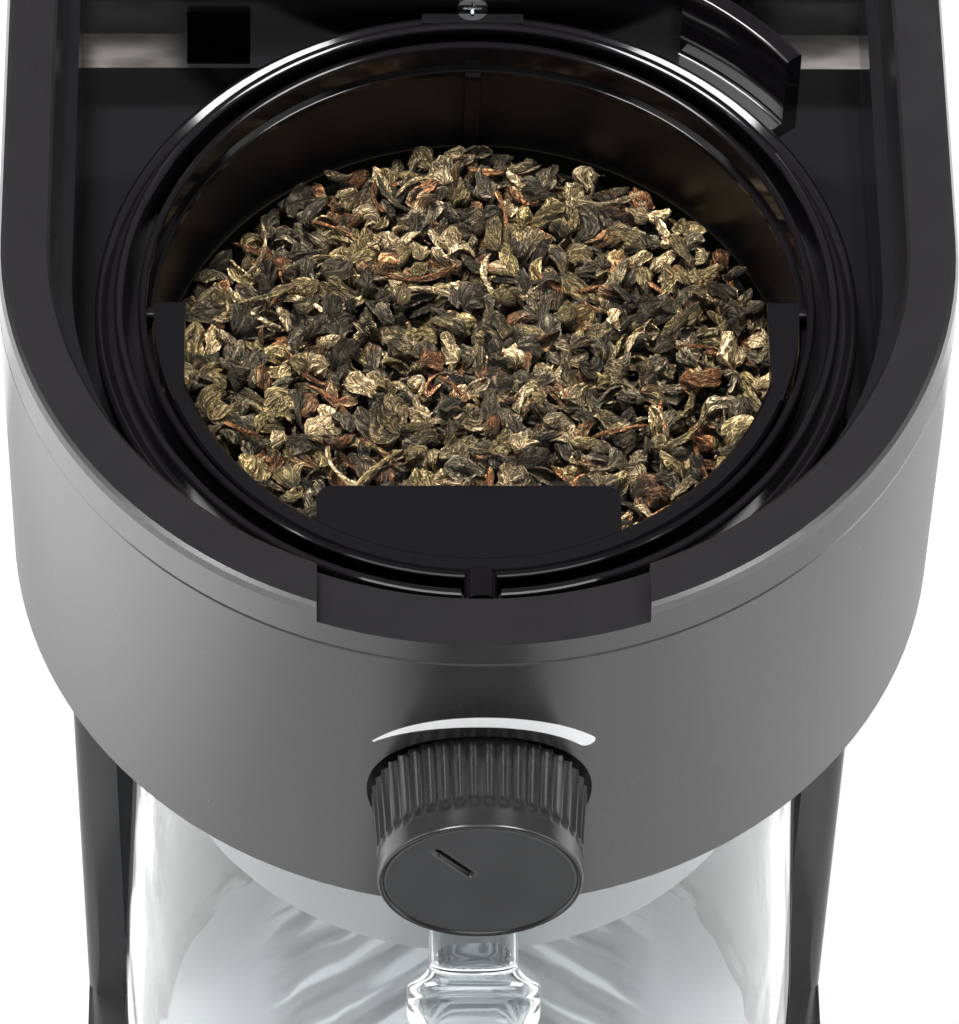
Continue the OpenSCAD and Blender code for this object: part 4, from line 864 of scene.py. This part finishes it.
def make_handle():
    """Strap swept along its path: narrow at the neck, wide on the bend, with ends that meet the jug."""
    path = strap_path()
    top = path[0][1]
    points = []
    for d, z, turn, share in path:
        widen = smooth_step(WIDEN_FROM, WIDEN_TO, turn)
        settle = smooth_step(SETTLE_FROM, SETTLE_TO, top - z) * (turn > 0)
        width = STRAP_NARROW + (STRAP_BEND_W - STRAP_NARROW) * widen + (STRAP_GRIP_W - STRAP_BEND_W) * settle
        thick = STRAP_T / 2 + KNUCKLE * (widen - settle)
        for k in range(STRAP_RING):
            a = 2 * math.pi * k / STRAP_RING
            c, v = math.cos(a), math.sin(a)
            x = width / 2 * math.copysign(abs(c) ** 0.6, c)
            n = thick * math.copysign(abs(v) ** 0.75, v)
            far, high = d + n * math.sin(turn), z + n * math.cos(turn)
            wall = math.sqrt(jug_wall(high) ** 2 - x * x) + STRAP_GAP
            points.append((x, AXIS_Y - wall - (far - wall) * share, high))
    faces = tube_faces(len(path), STRAP_RING)
    finish = FINISH["strap_glass"]
    mesh_piece("handle_strap", points, faces, finish, "jug", ["jug_handle"], sharp=60)


# White print over the knob, which widens towards the stronger side
PRINT_R = 25.7 * MM
PRINT_FROM = math.radians(-51)
PRINT_TO = math.radians(50)
PRINT_W = 3.1 * MM
PRINT_OUT = 0.06 * MM
PRINT_STEPS, TIP_STEPS = 64, 10
# Share of the full width at its thin end, and how fast it widens
PRINT_THIN = 0.1
PRINT_WIDEN = 1.8


def on_front(x, z, out):
    """Point on the round front of the head."""
    r = HEAD_R + out
    return (x, AXIS_Y - math.sqrt(r * r - x * x), z)


def print_spans():
    """Turns along the arc with half its width there: a taper, then a round tip."""
    spans = []
    for i in range(PRINT_STEPS + 1):
        share = i / PRINT_STEPS
        wide = PRINT_THIN + (1 - PRINT_THIN) * math.sin(math.pi / 2 * min(1, PRINT_WIDEN * share))
        spans.append((PRINT_FROM + (PRINT_TO - PRINT_FROM) * share, PRINT_W / 2 * wide))
    for i in range(1, TIP_STEPS):
        a = math.pi / 2 * i / TIP_STEPS
        spans.append((PRINT_TO + PRINT_W / 2 * math.sin(a) / PRINT_R, PRINT_W / 2 * math.cos(a)))
    return spans


def make_print():
    """Tapered arc of white print, as a thin layer on the housing."""
    spans = print_spans()
    points = []
    for a, half in spans:
        for side, out in ((-1, -PRINT_OUT), (1, -PRINT_OUT), (1, PRINT_OUT), (-1, PRINT_OUT)):
            r = PRINT_R + side * half
            points.append(on_front(r * math.sin(a), KNOB_Z + r * math.cos(a), out))
    faces = tube_faces(len(spans), 4)
    mesh_piece("strength_print", points, faces, FINISH["white_plastic"], "machine")


# Studio: a pale floor, a white surround, soft lamps, and a dark flag in front
FLOOR_HALF = 6.0
FLOOR_Z, FLAG_Z = -0.05 * MM, -0.02 * MM
FLOOR_GLOW = 0.85
FLOOR_LEVEL, FLOOR_SHEEN = 1.1, 2.2
FLOOR_PATCH = 0.4
WORLD_LEVEL = 0.27
# Flag: its sides, and its ends in front of and behind the brewing axis
FLAG_LEFT, FLAG_RIGHT = -0.4, 0.6
FLAG_FRONT, FLAG_BACK = 0.65, 0.2
# Fades of the flag, by distance from the middle and towards the right: from where, to where, density at both
FLAG_MIDDLE = ((0.06, 0.12, 1.0, 0.0), (0.19, 0.34, 0.63, 0.0))
FLAG_SIDE = (0.1, 0.24, 0.0, 0.54)


def stage_sheet(name, left, right, front, back, z, finish):
    """Flat sheet of the studio."""
    mesh = bpy.data.meshes.new(name)
    corners = [(left, front, z), (right, front, z), (right, back, z), (left, back, z)]
    mesh.from_pydata(corners, [], [(0, 1, 2, 3)])
    mesh.materials.append(finish)
    sheet = bpy.data.objects.new(name, mesh)
    bpy.context.scene.collection.objects.link(sheet)
    return sheet


def make_floor():
    """Pale floor that keeps the shadow and shows as white."""
    sh = Shader("floor")
    diffuse = sh.node("ShaderNodeBsdfDiffuse")
    patches = sh.noise(FLOOR_PATCH)
    tone = sh.ramp(patches, [(NOISE_LOW, (0.86, 0.86, 0.86)), (NOISE_HIGH, (0.88, 0.88, 0.88))])
    sh.link(tone, diffuse.inputs["Color"])
    rays = sh.node("ShaderNodeLightPath").outputs
    glow = sh.node("ShaderNodeEmission")
    sh.link(sh.spread(rays["Is Glossy Ray"], 0.0, 1.0, FLOOR_LEVEL, FLOOR_SHEEN), glow.inputs["Strength"])
    seen = sh.calc("MAXIMUM", rays["Is Camera Ray"], rays["Is Transmission Ray"])
    seen = sh.calc("MAXIMUM", seen, rays["Is Glossy Ray"])
    sh.mixed(sh.calc("MULTIPLY", seen, FLOOR_GLOW), diffuse.outputs[0], glow.outputs[0])
    stage_sheet("floor", -FLOOR_HALF, FLOOR_HALF, -FLOOR_HALF, FLOOR_HALF, FLOOR_Z, sh.material)


def make_flag():
    """Dark card on the floor in front, with soft edges, which is seen in the sheen of the head alone."""
    sh = Shader("flag")
    dark = sh.node("ShaderNodeBsdfDiffuse", Color=(0.004, 0.004, 0.005, 1))
    clear = sh.node("ShaderNodeBsdfTransparent")
    x = sh.axes()["X"]
    density = sh.fade(x, *FLAG_SIDE)
    for one in FLAG_MIDDLE:
        density = sh.calc("MAXIMUM", density, sh.fade(sh.calc("ABSOLUTE", x), *one))
    sh.mixed(density, clear.outputs[0], dark.outputs[0])
    front, back = AXIS_Y - FLAG_FRONT, AXIS_Y + FLAG_BACK
    flag = stage_sheet("flag", FLAG_LEFT, FLAG_RIGHT, front, back, FLAG_Z, sh.material)
    for ray in ("camera", "diffuse", "shadow", "transmission"):
        setattr(flag, "visible_" + ray, False)


def make_world():
    """White surround."""
    world = bpy.data.worlds.new("studio")
    world.use_nodes = True
    surround = world.node_tree.nodes["Background"]
    surround.inputs["Color"].default_value = (1, 1, 1, 1)
    surround.inputs["Strength"].default_value = WORLD_LEVEL
    bpy.context.scene.world = world


def soft_lamp(name, at, size, power, sheen=True, light=True):
    """Rectangular lamp that faces the rim's middle, and gives sheen, plain light or both."""
    data = bpy.data.lights.new(name, "AREA")
    data.shape = "RECTANGLE"
    data.size, data.size_y = size
    data.energy = power
    lamp = bpy.data.objects.new(name, data)
    lamp.location = at
    lamp.rotation_mode = "QUATERNION"
    lamp.rotation_quaternion = (Vector((0, AXIS_Y, RIM_TOP)) - Vector(at)).to_track_quat("-Z", "Y")
    lamp.visible_glossy = sheen
    lamp.visible_diffuse = light
    bpy.context.scene.collection.objects.link(lamp)


def make_lamps():
    """Plain light from above and in front, and softboxes whose sheen draws the edges."""
    soft_lamp("key", at=(-0.2, AXIS_Y + 0.3, 1.6), size=(0.3, 0.3), power=38, sheen=False)
    soft_lamp("front", at=(0.2, AXIS_Y - 1.6, 0.8), size=(0.8, 0.5), power=11, sheen=False)
    soft_lamp("sheen", at=(0, AXIS_Y - 1.0, 1.7), size=(1.6, 0.42), power=12, light=False)
    for name, side in (("left", -1), ("right", 1)):
        soft_lamp(name, at=(side * 1.3, AXIS_Y, 0.7), size=(0.8, 0.8), power=6)
        above = (side * 0.75, AXIS_Y - 0.15, RIM_TOP + 1.25)
        soft_lamp(name + "_top", at=above, size=(0.7, 0.5), power=32, light=False)
        behind = (side * 0.55, AXIS_Y + 1.2, RIM_TOP + 0.55)
        soft_lamp(name + "_rear", at=behind, size=(0.5, 0.5), power=6, light=False)


make_camera()
dress_nodes()
make_tea()
make_bed()
make_knob()
make_handle()
make_print()
make_floor()
make_flag()
make_world()
make_lamps()

bpy.context.scene.view_settings.view_transform = "Standard"
